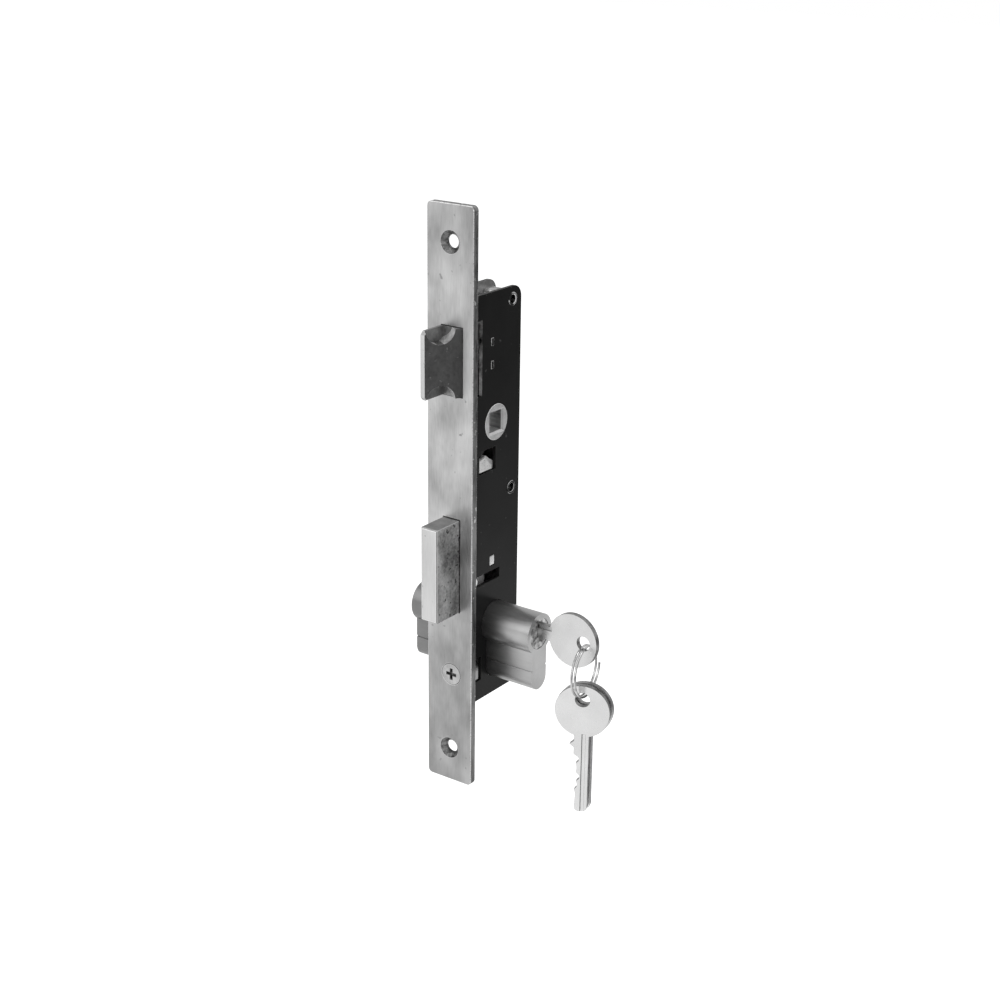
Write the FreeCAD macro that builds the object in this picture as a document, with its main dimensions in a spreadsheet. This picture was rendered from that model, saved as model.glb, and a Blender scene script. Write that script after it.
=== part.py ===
import FreeCAD, Part
import math
import os
from types import SimpleNamespace

import Sketcher

# Narrow-stile mortice lock with a profile cylinder and three keys.
# X runs across the lock towards its cover, Y into the case, Z up.
# The origin is midway between the faceplate's two fixing holes, on its front face.

SIZES = {
    # faceplate and its openings
    "plate_width": 22.0,
    "plate_height": 240.0,
    "plate_thick": 3.0,
    "plate_corner": 2.0,
    "plate_edge": 0.4,
    "fixing_inset": 14.5,
    "fixing_bore": 5.2,
    "fixing_sink": 9.0,
    "bolt_clearance": 0.3,
    # case
    "mid_offset": 0.9,
    "backset": 20.0,
    "hub_height": 32.0,
    "centre_distance": 85.0,
    "case_gap": 10.6,
    "sheet_thick": 1.5,
    "case_back": 36.0,
    "case_top": 84.6,
    "case_drop": 32.2,
    "case_rise": 0.7,
    "case_corner": 5.0,
    "web_end": 79.8,
    "side_clearance": 0.3,
    # lugs that hold the case to the faceplate
    "lug_top_low": 75.3,
    "lug_top_high": 83.5,
    "lug_rise": 5.8,
    "lug_fall": 9.2,
    "lug_width": 8.4,
    "stud_radius": 2.0,
    "stud_top": 79.4,
    "stud_drop": 6.1,
    "stud_sink": 1.5,
    "stud_clearance": 0.05,
    # posts between the two plates
    "post_radius": 3.5,
    "post_end_radius": 2.75,
    "post_bore": 3.6,
    "post_proud": 0.2,
    "post_depth": 30.3,
    "post_top": 79.4,
    "post_drop": 27.1,
    "pivot_depth": 30.7,
    "pivot_height": 1.8,
    "journal_radius": 2.5,
    "journal_clearance": 0.05,
    # latch bolt
    "latch_thick": 10.0,
    "latch_low": 46.1,
    "latch_high": 73.3,
    "latch_reach": 13.0,
    "latch_nose": 2.0,
    "latch_rear": 3.5,
    "latch_chamfer": 1.4,
    "latch_travel": 12.5,
    "scallop_radius": 6.0,
    "scallop_back": 1.2,
    "scallop_reach": 6.5,
    "scallop_out": 0.4,
    "upper_leg_low": 66.9,
    "upper_leg_end": 12.0,
    "lower_leg_low": 44.8,
    "lower_leg_high": 52.9,
    "leg_end_gap": 2.7,
    "arm_slot_half": 2.55,
    "arm_slot_top": 50.8,
    # latch spring and the plate that backs it
    "spring_outer": 4.6,
    "spring_wire": 0.7,
    "spring_turns": 8.0,
    "spring_offset": 1.3,
    "spring_height": 60.3,
    "spring_front": 4.5,
    "spring_bore": 5.2,
    "spring_back": 16.4,
    "spring_plate_thick": 1.6,
    "spring_plate_low": 54.1,
    "spring_plate_high": 66.5,
    "tab_height": 3.2,
    "tab_clearance": 0.1,
    "spigot_radius": 1.4,
    "spigot_reach": 2.0,
    # hub
    "hub_radius": 7.35,
    "hub_clearance": 0.1,
    "hub_proud": 0.2,
    "flange_clearance": 0.21,
    "hub_square": 8.1,
    "hub_mouth": 0.8,
    "hub_flange": 9.6,
    "arm_length": 16.2,
    "arm_tip": 2.1,
    "arm_neck": 1.25,
    "arm_thick": 4.0,
    "arm_lean": 22.7,
    "toe_length": 14.6,
    "toe_tip": 1.4,
    "toe_lean": 34.8,
    # lever
    "lever_thick": 2.5,
    "lever_ring": 3.5,
    "lever_tail_width": 3.4,
    "lever_tail_end": 39.5,
    "lever_tail_inset": 0.4,
    "lever_waist": 2.0,
    "lever_neck": 0.6,
    "lever_back_depth": 1.6,
    "lever_back_rise": 3.3,
    "nose_ahead": 11.2,
    "nose_low": 17.6,
    "nose_high": 15.0,
    "belly_behind": 1.2,
    "belly_drop": 20.4,
    "crown_ahead": 4.2,
    "crown_drop": 13.3,
    "shoulder_ahead": 1.4,
    "shoulder_drop": 15.4,
    "slope_behind": 2.6,
    "slope_drop": 17.4,
    "boss_ahead": 10.6,
    "boss_drop": 18.8,
    "boss_front_drop": 14.0,
    "boss_peak_ahead": 6.8,
    "boss_peak_drop": 13.2,
    "boss_bend_ahead": 4.0,
    "boss_bend_drop": 15.8,
    "boss_rear_ahead": 2.4,
    "boss_rear_drop": 17.3,
    # deadbolt
    "dead_thick": 8.0,
    "dead_low": 43.6,
    "dead_high": 4.3,
    "dead_reach": 14.7,
    "dead_corner": 0.5,
    "dead_travel": 14.2,
    "strip_rear": 4.0,
    "strip_high": 39.6,
    "dead_rear": 9.2,
    "tail_thick": 6.0,
    "tail_high": 9.0,
    "tail_rear": 19.5,
    "notch_front": 10.4,
    "notch_rear": 15.4,
    "notch_deep": 2.0,
    "pin_radius": 2.0,
    "pin_depth": 6.8,
    "pin_height": 32.6,
    "pin_clearance": 0.2,
    "pin_end_clearance": 0.4,
    "pin_sunk": 0.2,
    # leaf spring behind the deadbolt's small window
    "leaf_thick": 0.6,
    "leaf_front": 12.0,
    "leaf_rear": 22.0,
    "leaf_window_front": 16.6,
    "leaf_window_rear": 20.1,
    "leaf_window_low": 28.3,
    "leaf_window_high": 24.0,
    "leaf_clearance": 0.2,
    "leaf_gap": 0.05,
    # windows and notches in the cover
    "window_front": 9.0,
    "window_rear": 20.0,
    "window_drop": 19.5,
    "window_height": 9.5,
    "notch_depth": 10.4,
    "upper_notch_low": 44.7,
    "upper_notch_high": 74.8,
    "lower_notch_depth": 11.2,
    "lower_notch_fall": 4.7,
    "lower_notch_rise": 5.8,
    # profile cylinder
    "barrel_radius": 8.5,
    "barrel_length": 59.0,
    "body_width": 10.0,
    "body_drop": 24.5,
    "cylinder_clearance": 0.2,
    "cam_gap": 10.0,
    "cam_gap_low": 13.3,
    "bridge_radius": 2.5,
    "screw_drop": 18.8,
    "plug_radius": 6.45,
    "plug_clearance": 0.05,
    "plug_recess": 0.2,
    "clip_radius": 7.5,
    "clip_thick": 0.7,
    "clip_groove": 0.4,
    "clip_clearance": 0.15,
    "cam_radius": 7.5,
    "cam_thick": 8.0,
    "cam_bore": 6.15,
    "tooth_width": 4.6,
    "tooth_reach": 12.8,
    "tooth_rest": 30.0,
    "chamber_radius": 1.5,
    "chamber_first": 5.0,
    "chamber_last": 3.5,
    "chamber_end": 22.6,
    "tumbler_clearance": 0.06,
    "tumbler_split": 6.2,
    "pin_point": 1.3,
    "driver_start": 6.6,
    "driver_length": 4.6,
    "groove_drop": 15.0,
    "groove_width": 0.8,
    "groove_deep": 0.4,
    # cylinder screw
    "screw_radius": 2.5,
    "screw_head": 4.75,
    "screw_sink_clearance": 0.05,
    "screw_length": 27.0,
    "screw_clearance": 0.05,
    "cross_width": 1.0,
    "cross_length": 4.6,
    "cross_deep": 1.4,
    # keys
    "bow_radius": 11.3,
    "bow_hole": 3.05,
    "hole_inset": 6.2,
    "key_thick": 2.2,
    "key_neck": 5.2,
    "key_width": 6.2,
    "key_shoulder": 1.8,
    "key_shoulder_long": 3.0,
    "key_tip_gap": 0.6,
    "key_tip": 2.4,
    "key_tip_cut": 1.6,
    "key_rise": 1.8,
    "key_clearance": 0.1,
    "cut_half": 0.7,
    "cut_slope": 0.62,
    "cut_first": 2.2,
    "cut_second": 1.4,
    "cut_third": 2.6,
    "cut_fourth": 1.7,
    "cut_fifth": 1.0,
    "groove_high": 1.5,
    "groove_depth": 0.6,
    "groove_start": 6.4,
    # key ring
    "ring_radius": 10.4,
    "ring_wire": 1.0,
    "ring_pitch": 1.45,
    "ring_turns": 2.0,
    "ring_turned": -7.0,
    "ring_hang": 1.75,
    "keys_hang": 1.15,
    "keys_spacing": 3.0,
    "keys_azimuth": 20.0,
    "keys_tilt": 0.0,
}


class Size:
    """A number together with the sheet expression that gives it."""

    def __init__(self, value, text):
        self.value = value
        self.text = text

    def joined(self, other, sign, result):
        return Size(result, f"({self.text} {sign} {other.text})")

    def __add__(self, other):
        other = as_size(other)
        return self.joined(other, "+", self.value + other.value)

    def __sub__(self, other):
        other = as_size(other)
        return self.joined(other, "-", self.value - other.value)

    def __mul__(self, other):
        other = as_size(other)
        return self.joined(other, "*", self.value * other.value)

    def __truediv__(self, other):
        other = as_size(other)
        return self.joined(other, "/", self.value / other.value)

    def __neg__(self):
        return Size(-self.value, f"(0 - {self.text})")

    def __radd__(self, other):
        return as_size(other) + self

    def __rsub__(self, other):
        return as_size(other) - self

    def __rmul__(self, other):
        return as_size(other) * self


def as_size(number):
    """Return the number as a Size, so that plain numbers and sizes mix."""
    if isinstance(number, Size):
        return number
    return Size(float(number), f"({float(number)!r})")


def sine(angle):
    """Sine of an angle size in degrees."""
    return Size(math.sin(math.radians(angle.value)), f"sin({angle.text})")


def cosine(angle):
    """Cosine of an angle size in degrees."""
    return Size(math.cos(math.radians(angle.value)), f"cos({angle.text})")


def root(size):
    """Square root of a size."""
    return Size(math.sqrt(size.value), f"sqrt({size.text})")


doc = FreeCAD.newDocument("mortice_lock")
sheet = doc.addObject("Spreadsheet::Sheet", "Sizes")
for row, (name, number) in enumerate(SIZES.items(), start=1):
    sheet.set(f"A{row}", name)
    sheet.set(f"B{row}", str(number))
    sheet.setAlias(f"B{row}", name)
doc.recompute()
s = SimpleNamespace(**{name: Size(number, f"Sizes.{name}") for name, number in SIZES.items()})
parts = []


# Helpers that make features whose sizes stay tied to the sheet

def bind(item, field, size):
    """Tie one property of an object to the sheet."""
    item.setExpression(field, as_size(size).text)


def place(item, corner):
    """Tie an object's position to the sheet."""
    for axis, size in zip("xyz", corner):
        bind(item, f"Placement.Base.{axis}", size)


def turn(item, axis, angle):
    """Turn an object about an axis through its own origin."""
    item.Placement.Rotation = FreeCAD.Rotation(FreeCAD.Vector(*axis), angle)


def box(name, low, high):
    """Box between two opposite corners."""
    item = doc.addObject("Part::Box", name)
    for field, start, end in zip(("Length", "Width", "Height"), low, high):
        bind(item, field, as_size(end) - start)
    place(item, low)
    return item


def rod(name, direction, radius, start, length):
    """Cylinder along X, Y or Z from its start point."""
    item = doc.addObject("Part::Cylinder", name)
    bind(item, "Radius", radius)
    bind(item, "Height", length)
    if direction == "x":
        turn(item, (0, 1, 0), 90)
    if direction == "y":
        turn(item, (1, 0, 0), -90)
    place(item, start)
    return item


def cone(name, radius_start, radius_end, start, length):
    """Cone along Y from its start point."""
    item = doc.addObject("Part::Cone", name)
    bind(item, "Radius1", radius_start)
    bind(item, "Radius2", radius_end)
    bind(item, "Height", length)
    turn(item, (1, 0, 0), -90)
    place(item, start)
    return item


def fuse(name, pieces):
    """Union of several shapes."""
    item = doc.addObject("Part::MultiFuse", name)
    item.Shapes = pieces
    item.Refine = True
    return item


def cut(name, base, tools):
    """Base shape with every tool taken out of it."""
    tool = tools[0] if len(tools) == 1 else fuse(f"{name}_tools", tools)
    item = doc.addObject("Part::Cut", name)
    item.Base = base
    item.Tool = tool
    return item


def finished(item, label):
    """Name a finished sub-part and put it on the list of nodes."""
    item.Label = label
    parts.append(item)
    return item


def new_body(label):
    """PartDesign body for one sub-part."""
    body = doc.addObject("PartDesign::Body", label)
    return finished(body, label)


def new_sketch(body, role, lift=0.0):
    """Sketch on one of the body's own origin planes, lifted along its normal."""
    sketch = body.newObject("Sketcher::SketchObject", f"{body.Name}_sketch")
    plane = next(item for item in body.Origin.OriginFeatures if item.Role == role)
    sketch.AttachmentSupport = (plane, [""])
    sketch.MapMode = "FlatFace"
    bind(sketch, "AttachmentOffset.Base.z", lift)
    return sketch


def constrain(sketch, kind, items, size):
    """Dimension in a sketch, tied to the sheet."""
    size = as_size(size)
    index = sketch.addConstraint(Sketcher.Constraint(kind, *items, size.value))
    sketch.setExpression(f"Constraints[{index}]", size.text)


def outline(sketch, corners):
    """Closed polygon whose corners are tied to the sheet."""
    first = sketch.GeometryCount
    corners = [[as_size(part) for part in corner] for corner in corners]
    points = [FreeCAD.Vector(corner[0].value, corner[1].value, 0) for corner in corners]
    total = len(points)
    for index in range(total):
        line = Part.LineSegment(points[index], points[(index + 1) % total])
        sketch.addGeometry(line, False)
    for index in range(total):
        following = first + (index + 1) % total
        sketch.addConstraint(Sketcher.Constraint("Coincident", first + index, 2, following, 1))
    for index, corner in enumerate(corners):
        for kind, part in zip(("DistanceX", "DistanceY"), corner):
            constrain(sketch, kind, (-1, 1, first + index, 1), part)


def rectangle(sketch, low, high):
    """Rectangle between two opposite corners."""
    outline(sketch, [low, (high[0], low[1]), high, (low[0], high[1])])


def circle(sketch, centre, radius):
    """Circle with its centre and radius tied to the sheet."""
    centre = [as_size(part) for part in centre]
    radius = as_size(radius)
    middle = FreeCAD.Vector(centre[0].value, centre[1].value, 0)
    index = sketch.addGeometry(Part.Circle(middle, FreeCAD.Vector(0, 0, 1), radius.value), False)
    for kind, part in zip(("DistanceX", "DistanceY"), centre):
        constrain(sketch, kind, (-1, 1, index, 3), part)
    constrain(sketch, "Radius", (index,), radius)


def pad(body, sketch, length, backwards=False, both=False):
    """Add the sketch's area, drawn out along its normal."""
    feature = body.newObject("PartDesign::Pad", f"{body.Name}_pad")
    feature.Profile = sketch
    bind(feature, "Length", length)
    feature.Reversed = backwards
    feature.SideType = "Symmetric" if both else "One side"
    sketch.Visibility = False
    return feature


def pocket(body, sketch, length, backwards=False, both=False):
    """Take the sketch's area out, drawn against its normal unless it runs backwards."""
    feature = body.newObject("PartDesign::Pocket", f"{body.Name}_pocket")
    feature.Profile = sketch
    bind(feature, "Length", length)
    feature.Reversed = backwards
    feature.SideType = "Symmetric" if both else "One side"
    sketch.Visibility = False
    return feature


def edges_along(shape, direction, wanted):
    """Names of the straight edges along a direction whose middle passes a test."""
    names = []
    for index, edge in enumerate(shape.Edges, start=1):
        if len(edge.Vertexes) != 2:
            continue
        run = edge.Vertexes[1].Point - edge.Vertexes[0].Point
        if run.Length > 1e-6 and abs(abs(run.normalize().dot(direction)) - 1.0) < 1e-6:
            if wanted(edge.CenterOfMass):
                names.append(f"Edge{index}")
    return names


def fillet(body, feature, names, radius):
    """Round the named edges of the body's last feature."""
    rounding = body.newObject("PartDesign::Fillet", f"{body.Name}_fillet")
    rounding.Base = (feature, names)
    bind(rounding, "Radius", radius)
    return rounding


# Places that several pieces share

axis_x = FreeCAD.Vector(1, 0, 0)
axis_y = FreeCAD.Vector(0, 1, 0)
axis_z = FreeCAD.Vector(0, 0, 1)
far_inner = s.mid_offset - s.case_gap / 2
far_outer = far_inner - s.sheet_thick
near_inner = s.mid_offset + s.case_gap / 2
near_outer = near_inner + s.sheet_thick
across = near_outer - far_outer
cylinder_height = s.hub_height - s.centre_distance
latch_left = s.mid_offset - s.latch_thick / 2
latch_right = s.mid_offset + s.latch_thick / 2
dead_left = s.mid_offset - s.dead_thick / 2
dead_right = s.mid_offset + s.dead_thick / 2
spring_x = s.mid_offset - s.spring_offset
screw_height = cylinder_height - s.screw_drop
case_foot = cylinder_height - s.case_drop
lower_stud = screw_height - s.stud_drop
lower_leg_end = s.case_back - s.sheet_thick - s.latch_travel - s.leg_end_gap
window_low = s.hub_height - s.window_drop
half_barrel = s.barrel_length / 2
chamber_run = half_barrel - s.cam_gap / 2 - s.chamber_first - s.chamber_last
chamber_pitch = chamber_run / 4
beyond = 20.0
tab_low = s.spring_plate_low
tab_high = s.spring_plate_high
post_spots = ((s.post_depth, s.post_top), (s.post_depth, cylinder_height - s.post_drop))
pivot_spot = (s.pivot_depth, s.pivot_height)


# Faceplate: a long bar with rounded corners, two bolt openings and three sunk holes

faceplate = new_body("faceplate")
profile = new_sketch(faceplate, "XZ_Plane")
rectangle(profile, (-s.plate_width / 2, -s.plate_height / 2), (s.plate_width / 2, s.plate_height / 2))
bar = pad(faceplate, profile, s.plate_thick, backwards=True)
doc.recompute()
corners = fillet(faceplate, bar, edges_along(bar.Shape, axis_y, lambda point: True), s.plate_corner)
doc.recompute()
front = [
    f"Edge{index}"
    for index, edge in enumerate(corners.Shape.Edges, start=1)
    if abs(edge.BoundBox.YMax) < 1e-6
]
fillet(faceplate, corners, front, s.plate_edge)
profile = new_sketch(faceplate, "XZ_Plane")
clear = s.bolt_clearance
rectangle(profile, (latch_left - clear, s.latch_low - clear), (latch_right + clear, s.latch_high + clear))
rectangle(profile, (dead_left - clear, -s.dead_low - clear), (dead_right + clear, clear - s.dead_high))
pocket(faceplate, profile, s.plate_thick * 3, both=True)
doc.recompute()
for place_x, height, bore, sink in (
    (as_size(0.0), s.plate_height / 2 - s.fixing_inset, s.fixing_bore, s.fixing_sink),
    (as_size(0.0), s.fixing_inset - s.plate_height / 2, s.fixing_bore, s.fixing_sink),
    (
        s.mid_offset,
        screw_height,
        (s.screw_radius + s.screw_clearance) * 2,
        (s.screw_head + s.screw_sink_clearance) * 2,
    ),
):
    spot = new_sketch(faceplate, "XZ_Plane")
    circle(spot, (place_x, height), bore / 2)
    hole = faceplate.newObject("PartDesign::Hole", "faceplate_hole")
    hole.Profile = spot
    hole.ThreadType = "None"
    hole.DepthType = "ThroughAll"
    hole.HoleCutType = "Countersink"
    hole.HoleCutCustomValues = True
    bind(hole, "Diameter", bore)
    bind(hole, "HoleCutDiameter", sink)
    hole.HoleCutCountersinkAngle = 90
    spot.Visibility = False
    doc.recompute()
profile = new_sketch(faceplate, "XZ_Plane", -s.plate_thick)
circle(profile, (s.mid_offset, s.stud_top), s.stud_radius + s.stud_clearance)
circle(profile, (s.mid_offset, lower_stud), s.stud_radius + s.stud_clearance)
pocket(faceplate, profile, s.stud_sink, backwards=True)


# Side plates: the holes that the far plate and the cover share

def side_plate(body, inner, top, height_extra):
    """Pad one side plate on the YZ plane, rounded at its two back corners."""
    profile = new_sketch(body, "YZ_Plane", inner)
    rectangle(profile, (s.plate_thick, case_foot), (s.case_back, top + height_extra))
    sheet_pad = pad(body, profile, s.sheet_thick)
    doc.recompute()
    limit = s.case_back.value
    names = edges_along(sheet_pad.Shape, axis_x, lambda point: abs(point.y - limit) < 1e-6)
    fillet(body, sheet_pad, names, s.case_corner)


def shared_holes(body):
    """Cut the holes that run through both side plates."""
    profile = new_sketch(body, "YZ_Plane", far_outer - 1)
    circle(profile, (s.backset, s.hub_height), s.hub_radius + s.hub_clearance)
    for depth, height in post_spots:
        circle(profile, (depth, height), s.post_end_radius)
    circle(profile, pivot_spot, s.post_end_radius)
    tab_front = s.spring_back - s.tab_clearance
    tab_rear = s.spring_back + s.spring_plate_thick + s.tab_clearance
    for low in (tab_low, tab_high - s.tab_height):
        rectangle(
            profile,
            (tab_front, low - s.tab_clearance),
            (tab_rear, low + s.tab_height + s.tab_clearance),
        )
    slot_front = s.pin_depth - s.pin_radius - s.pin_end_clearance
    slot_rear = s.pin_depth + s.dead_travel + s.pin_radius + s.pin_end_clearance
    half = s.pin_radius + s.pin_clearance
    rectangle(profile, (slot_front, -s.pin_height - half), (slot_rear, half - s.pin_height))
    pocket(body, profile, across + 2, backwards=True)
    profile = new_sketch(body, "YZ_Plane", far_outer - 1)
    circle(profile, (s.backset, cylinder_height), s.barrel_radius + s.cylinder_clearance)
    pocket(body, profile, across + 2, backwards=True)
    half = s.body_width / 2 + s.cylinder_clearance
    foot = cylinder_height - s.body_drop + s.body_width / 2
    profile = new_sketch(body, "YZ_Plane", far_outer - 1)
    rectangle(profile, (s.backset - half, foot), (s.backset + half, cylinder_height))
    pocket(body, profile, across + 2, backwards=True)
    profile = new_sketch(body, "YZ_Plane", far_outer - 1)
    circle(profile, (s.backset, foot), half)
    pocket(body, profile, across + 2, backwards=True)


case_body = new_body("case_body")
side_plate(case_body, far_outer, s.case_top, s.case_rise)
profile = new_sketch(case_body, "XY_Plane", -s.web_end)
rectangle(profile, (far_outer, s.case_back - s.sheet_thick), (near_inner, s.case_back))
web = pad(case_body, profile, s.web_end * 2)
doc.recompute()
profile = new_sketch(case_body, "XZ_Plane", -s.plate_thick)
rectangle(profile, (far_outer, s.lug_top_low), (far_outer + s.sheet_thick + s.lug_width, s.lug_top_high))
lug_right = far_outer + s.sheet_thick + s.lug_width
rectangle(profile, (far_outer, screw_height - s.lug_fall), (lug_right, screw_height + s.lug_rise))
pad(case_body, profile, s.sheet_thick, backwards=True)
shared_holes(case_body)
profile = new_sketch(case_body, "XZ_Plane", 1 - s.plate_thick)
circle(profile, (s.mid_offset, s.stud_top), s.stud_radius + s.stud_clearance)
circle(profile, (s.mid_offset, lower_stud), s.stud_radius + s.stud_clearance)
circle(profile, (s.mid_offset, screw_height), s.screw_radius + s.bolt_clearance)
pocket(case_body, profile, s.sheet_thick + 2)

case_cover = new_body("case_cover")
side_plate(case_cover, near_inner, s.case_top, 0.0)
shared_holes(case_cover)
profile = new_sketch(case_cover, "YZ_Plane", near_inner - 1)
rectangle(profile, (s.window_front, window_low), (s.window_rear, window_low + s.window_height))
rectangle(profile, (s.leaf_window_front, -s.leaf_window_low), (s.leaf_window_rear, -s.leaf_window_high))
rectangle(profile, (s.plate_thick - 1, s.upper_notch_low), (s.notch_depth, s.upper_notch_high))
rectangle(
    profile,
    (s.plate_thick - 1, screw_height - s.lower_notch_fall),
    (s.lower_notch_depth, screw_height + s.lower_notch_rise),
)
pocket(case_cover, profile, s.sheet_thick + 2, backwards=True)


# Studs that rivet the case's two lugs to the back of the faceplate

studs = []
for label, height in (("upper", s.stud_top), ("lower", lower_stud)):
    start = (s.mid_offset, s.plate_thick - s.stud_sink + s.stud_clearance, height)
    studs.append(rod(f"{label}_stud", "y", s.stud_radius, start, s.stud_sink + s.sheet_thick + s.post_proud))
finished(fuse("stud_pair", studs), "faceplate_studs")


# Hollow posts that hold the side plates apart, and the lever's pivot post

def post(name, spot, body_end):
    """Post with a thicker middle and two riveted ends."""
    depth, height = spot
    middle = rod(f"{name}_middle", "x", s.post_radius, (far_inner, depth, height), body_end - far_inner)
    start = (far_outer - s.post_proud, depth, height)
    ends = rod(f"{name}_ends", "x", s.post_end_radius, start, across + s.post_proud * 2)
    return fuse(f"{name}_solid", [middle, ends])


def post_bore(name, spot):
    """Through bore for a handle screw."""
    depth, height = spot
    return rod(name, "x", s.post_bore / 2, (far_outer - 1, depth, height), across + 2)


upper_bore = post_bore("upper_bore", post_spots[0])
lower_bore = post_bore("lower_bore", post_spots[1])
upper_post = cut("upper_post", post("upper", post_spots[0], near_inner), [upper_bore])
lower_post = cut("lower_post", post("lower", post_spots[1], near_inner), [lower_bore])
finished(fuse("post_pair", [upper_post, lower_post]), "spacer_posts")

lever_left = near_inner - s.side_clearance - s.lever_thick
lever_right = near_inner - s.side_clearance
pivot_stop = lever_left - s.pin_clearance / 2
journal = rod(
    "pivot_journal",
    "x",
    s.journal_radius,
    (far_outer - s.post_proud, *pivot_spot),
    across + s.post_proud * 2,
)
pivot_middle = rod("pivot_middle", "x", s.post_radius, (far_inner, *pivot_spot), pivot_stop - far_inner)
pivot_collar = rod(
    "pivot_collar",
    "x",
    s.post_end_radius,
    (near_inner, *pivot_spot),
    s.sheet_thick + s.post_proud,
)
pivot_foot = rod(
    "pivot_foot",
    "x",
    s.post_end_radius,
    (far_outer - s.post_proud, *pivot_spot),
    s.sheet_thick + s.post_proud,
)
pivot = fuse("pivot_solid", [journal, pivot_middle, pivot_collar, pivot_foot])
finished(cut("pivot", pivot, [post_bore("pivot_bore", pivot_spot)]), "lever_pivot")


# Latch bolt: slanted head with two scallops, two legs and a blind spring bore

slant_run = s.latch_thick - s.latch_nose
slant_length = root(s.latch_reach * s.latch_reach + slant_run * slant_run)
latch_bolt = new_body("latch_bolt")
profile = new_sketch(latch_bolt, "XY_Plane", s.latch_low)
outline(
    profile,
    [
        (latch_left, -s.latch_reach),
        (latch_left + s.latch_nose, -s.latch_reach),
        (latch_right, 0.0),
        (latch_right, s.latch_rear),
        (latch_left, s.latch_rear),
    ],
)
head = pad(latch_bolt, profile, s.latch_high - s.latch_low)
profile = new_sketch(latch_bolt, "YZ_Plane", latch_left)
rectangle(profile, (s.latch_rear, s.upper_leg_low), (s.upper_leg_end, s.latch_high))
rectangle(profile, (s.latch_rear, s.lower_leg_low), (lower_leg_end, s.lower_leg_high))
pad(latch_bolt, profile, s.latch_thick)
profile = new_sketch(latch_bolt, "YZ_Plane", latch_left - 1)
arm_slot_centre = s.backset - s.arm_length * sine(s.arm_lean)
rectangle(
    profile,
    (arm_slot_centre - s.arm_slot_half, s.lower_leg_low - 1),
    (arm_slot_centre + s.arm_slot_half, s.arm_slot_top),
)
nose = -s.latch_reach
for edge, away in ((s.latch_high, -s.latch_chamfer), (s.latch_low, s.latch_chamfer)):
    outline(
        profile,
        [
            (nose - 1, edge - away),
            (nose + s.latch_chamfer, edge - away),
            (nose + s.latch_chamfer, edge),
            (nose, edge + away),
            (nose - 1, edge + away),
        ],
    )
pocket(latch_bolt, profile, s.latch_thick + 2, backwards=True)
profile = new_sketch(latch_bolt, "XZ_Plane", -s.latch_rear)
circle(profile, (spring_x, s.spring_height), s.spring_bore / 2)
pocket(latch_bolt, profile, s.latch_rear + s.spring_front + s.tab_clearance, backwards=True)
doc.recompute()

scallops = []
slant_angle = math.degrees(math.atan2(s.latch_reach.value, slant_run.value))
for label, height in (("upper", s.latch_high + s.scallop_out), ("lower", s.latch_low - s.scallop_out)):
    tool = doc.addObject("Part::Cylinder", f"{label}_scallop")
    bind(tool, "Radius", s.scallop_radius)
    tool.Height = beyond * 2
    tool.Placement.Rotation = FreeCAD.Rotation(
        FreeCAD.Vector(0, 0, 1), FreeCAD.Vector(s.latch_reach.value, -slant_run.value, 0)
    )
    along_x = latch_left + s.latch_nose + slant_run * s.scallop_reach / slant_length
    along_y = s.latch_reach * s.scallop_reach / slant_length - s.latch_reach
    inward = beyond
    place(
        tool,
        (
            along_x - s.latch_reach / slant_length * inward,
            along_y + slant_run / slant_length * inward,
            height,
        ),
    )
    scallops.append(tool)
keep = box(
    "scallop_zone",
    (latch_left + s.scallop_back, -s.latch_reach - 1, s.latch_low - beyond),
    (latch_right + 1, -s.plate_edge, s.latch_high + beyond),
)
scallop_tool = doc.addObject("Part::MultiCommon", "scallop_tool")
scallop_tool.Shapes = [fuse("scallop_pair", scallops), keep]
parts.remove(latch_bolt)
latch_bolt.Label = "latch_blank"
finished(cut("latch_finished", latch_bolt, [scallop_tool]), "latch_bolt")


# Wound wire: quarter turns of a helix, each made of two arcs that meet smoothly

def helix_point(radius, pitch, turned):
    """Point of a helix about Z at an angle in radians."""
    return FreeCAD.Vector(
        radius * math.cos(turned), radius * math.sin(turned), pitch * turned / (2 * math.pi)
    )


def helix_direction(radius, pitch, turned):
    """Unit tangent of a helix about Z at an angle in radians."""
    tangent = FreeCAD.Vector(
        -radius * math.sin(turned), radius * math.cos(turned), pitch / (2 * math.pi)
    )
    return tangent.normalize()


def arc_between(start, apex, end):
    """Arc that touches both legs of the corner at its start and end."""
    middle = (start + end) * 0.5
    half_chord = (end - start).Length / 2
    height = (apex - middle).Length
    swing = math.atan2(height, half_chord)
    crown = middle + (apex - middle).normalize() * (half_chord * math.tan(swing / 2))
    return Part.Arc(start, crown, end).toShape()


def smooth_pair(start, start_way, end, end_way):
    """Two arcs from start to end that keep both directions."""
    span = end - start
    ways = start_way + end_way
    dot = span.dot(ways)
    share = 2 * (1 - start_way.dot(end_way))
    reach = (-dot + math.sqrt(dot * dot + share * span.dot(span))) / share
    first_apex = start + start_way * reach
    second_apex = end - end_way * reach
    joint = (first_apex + second_apex) * 0.5
    return [arc_between(start, first_apex, joint), arc_between(joint, second_apex, end)]


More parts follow.
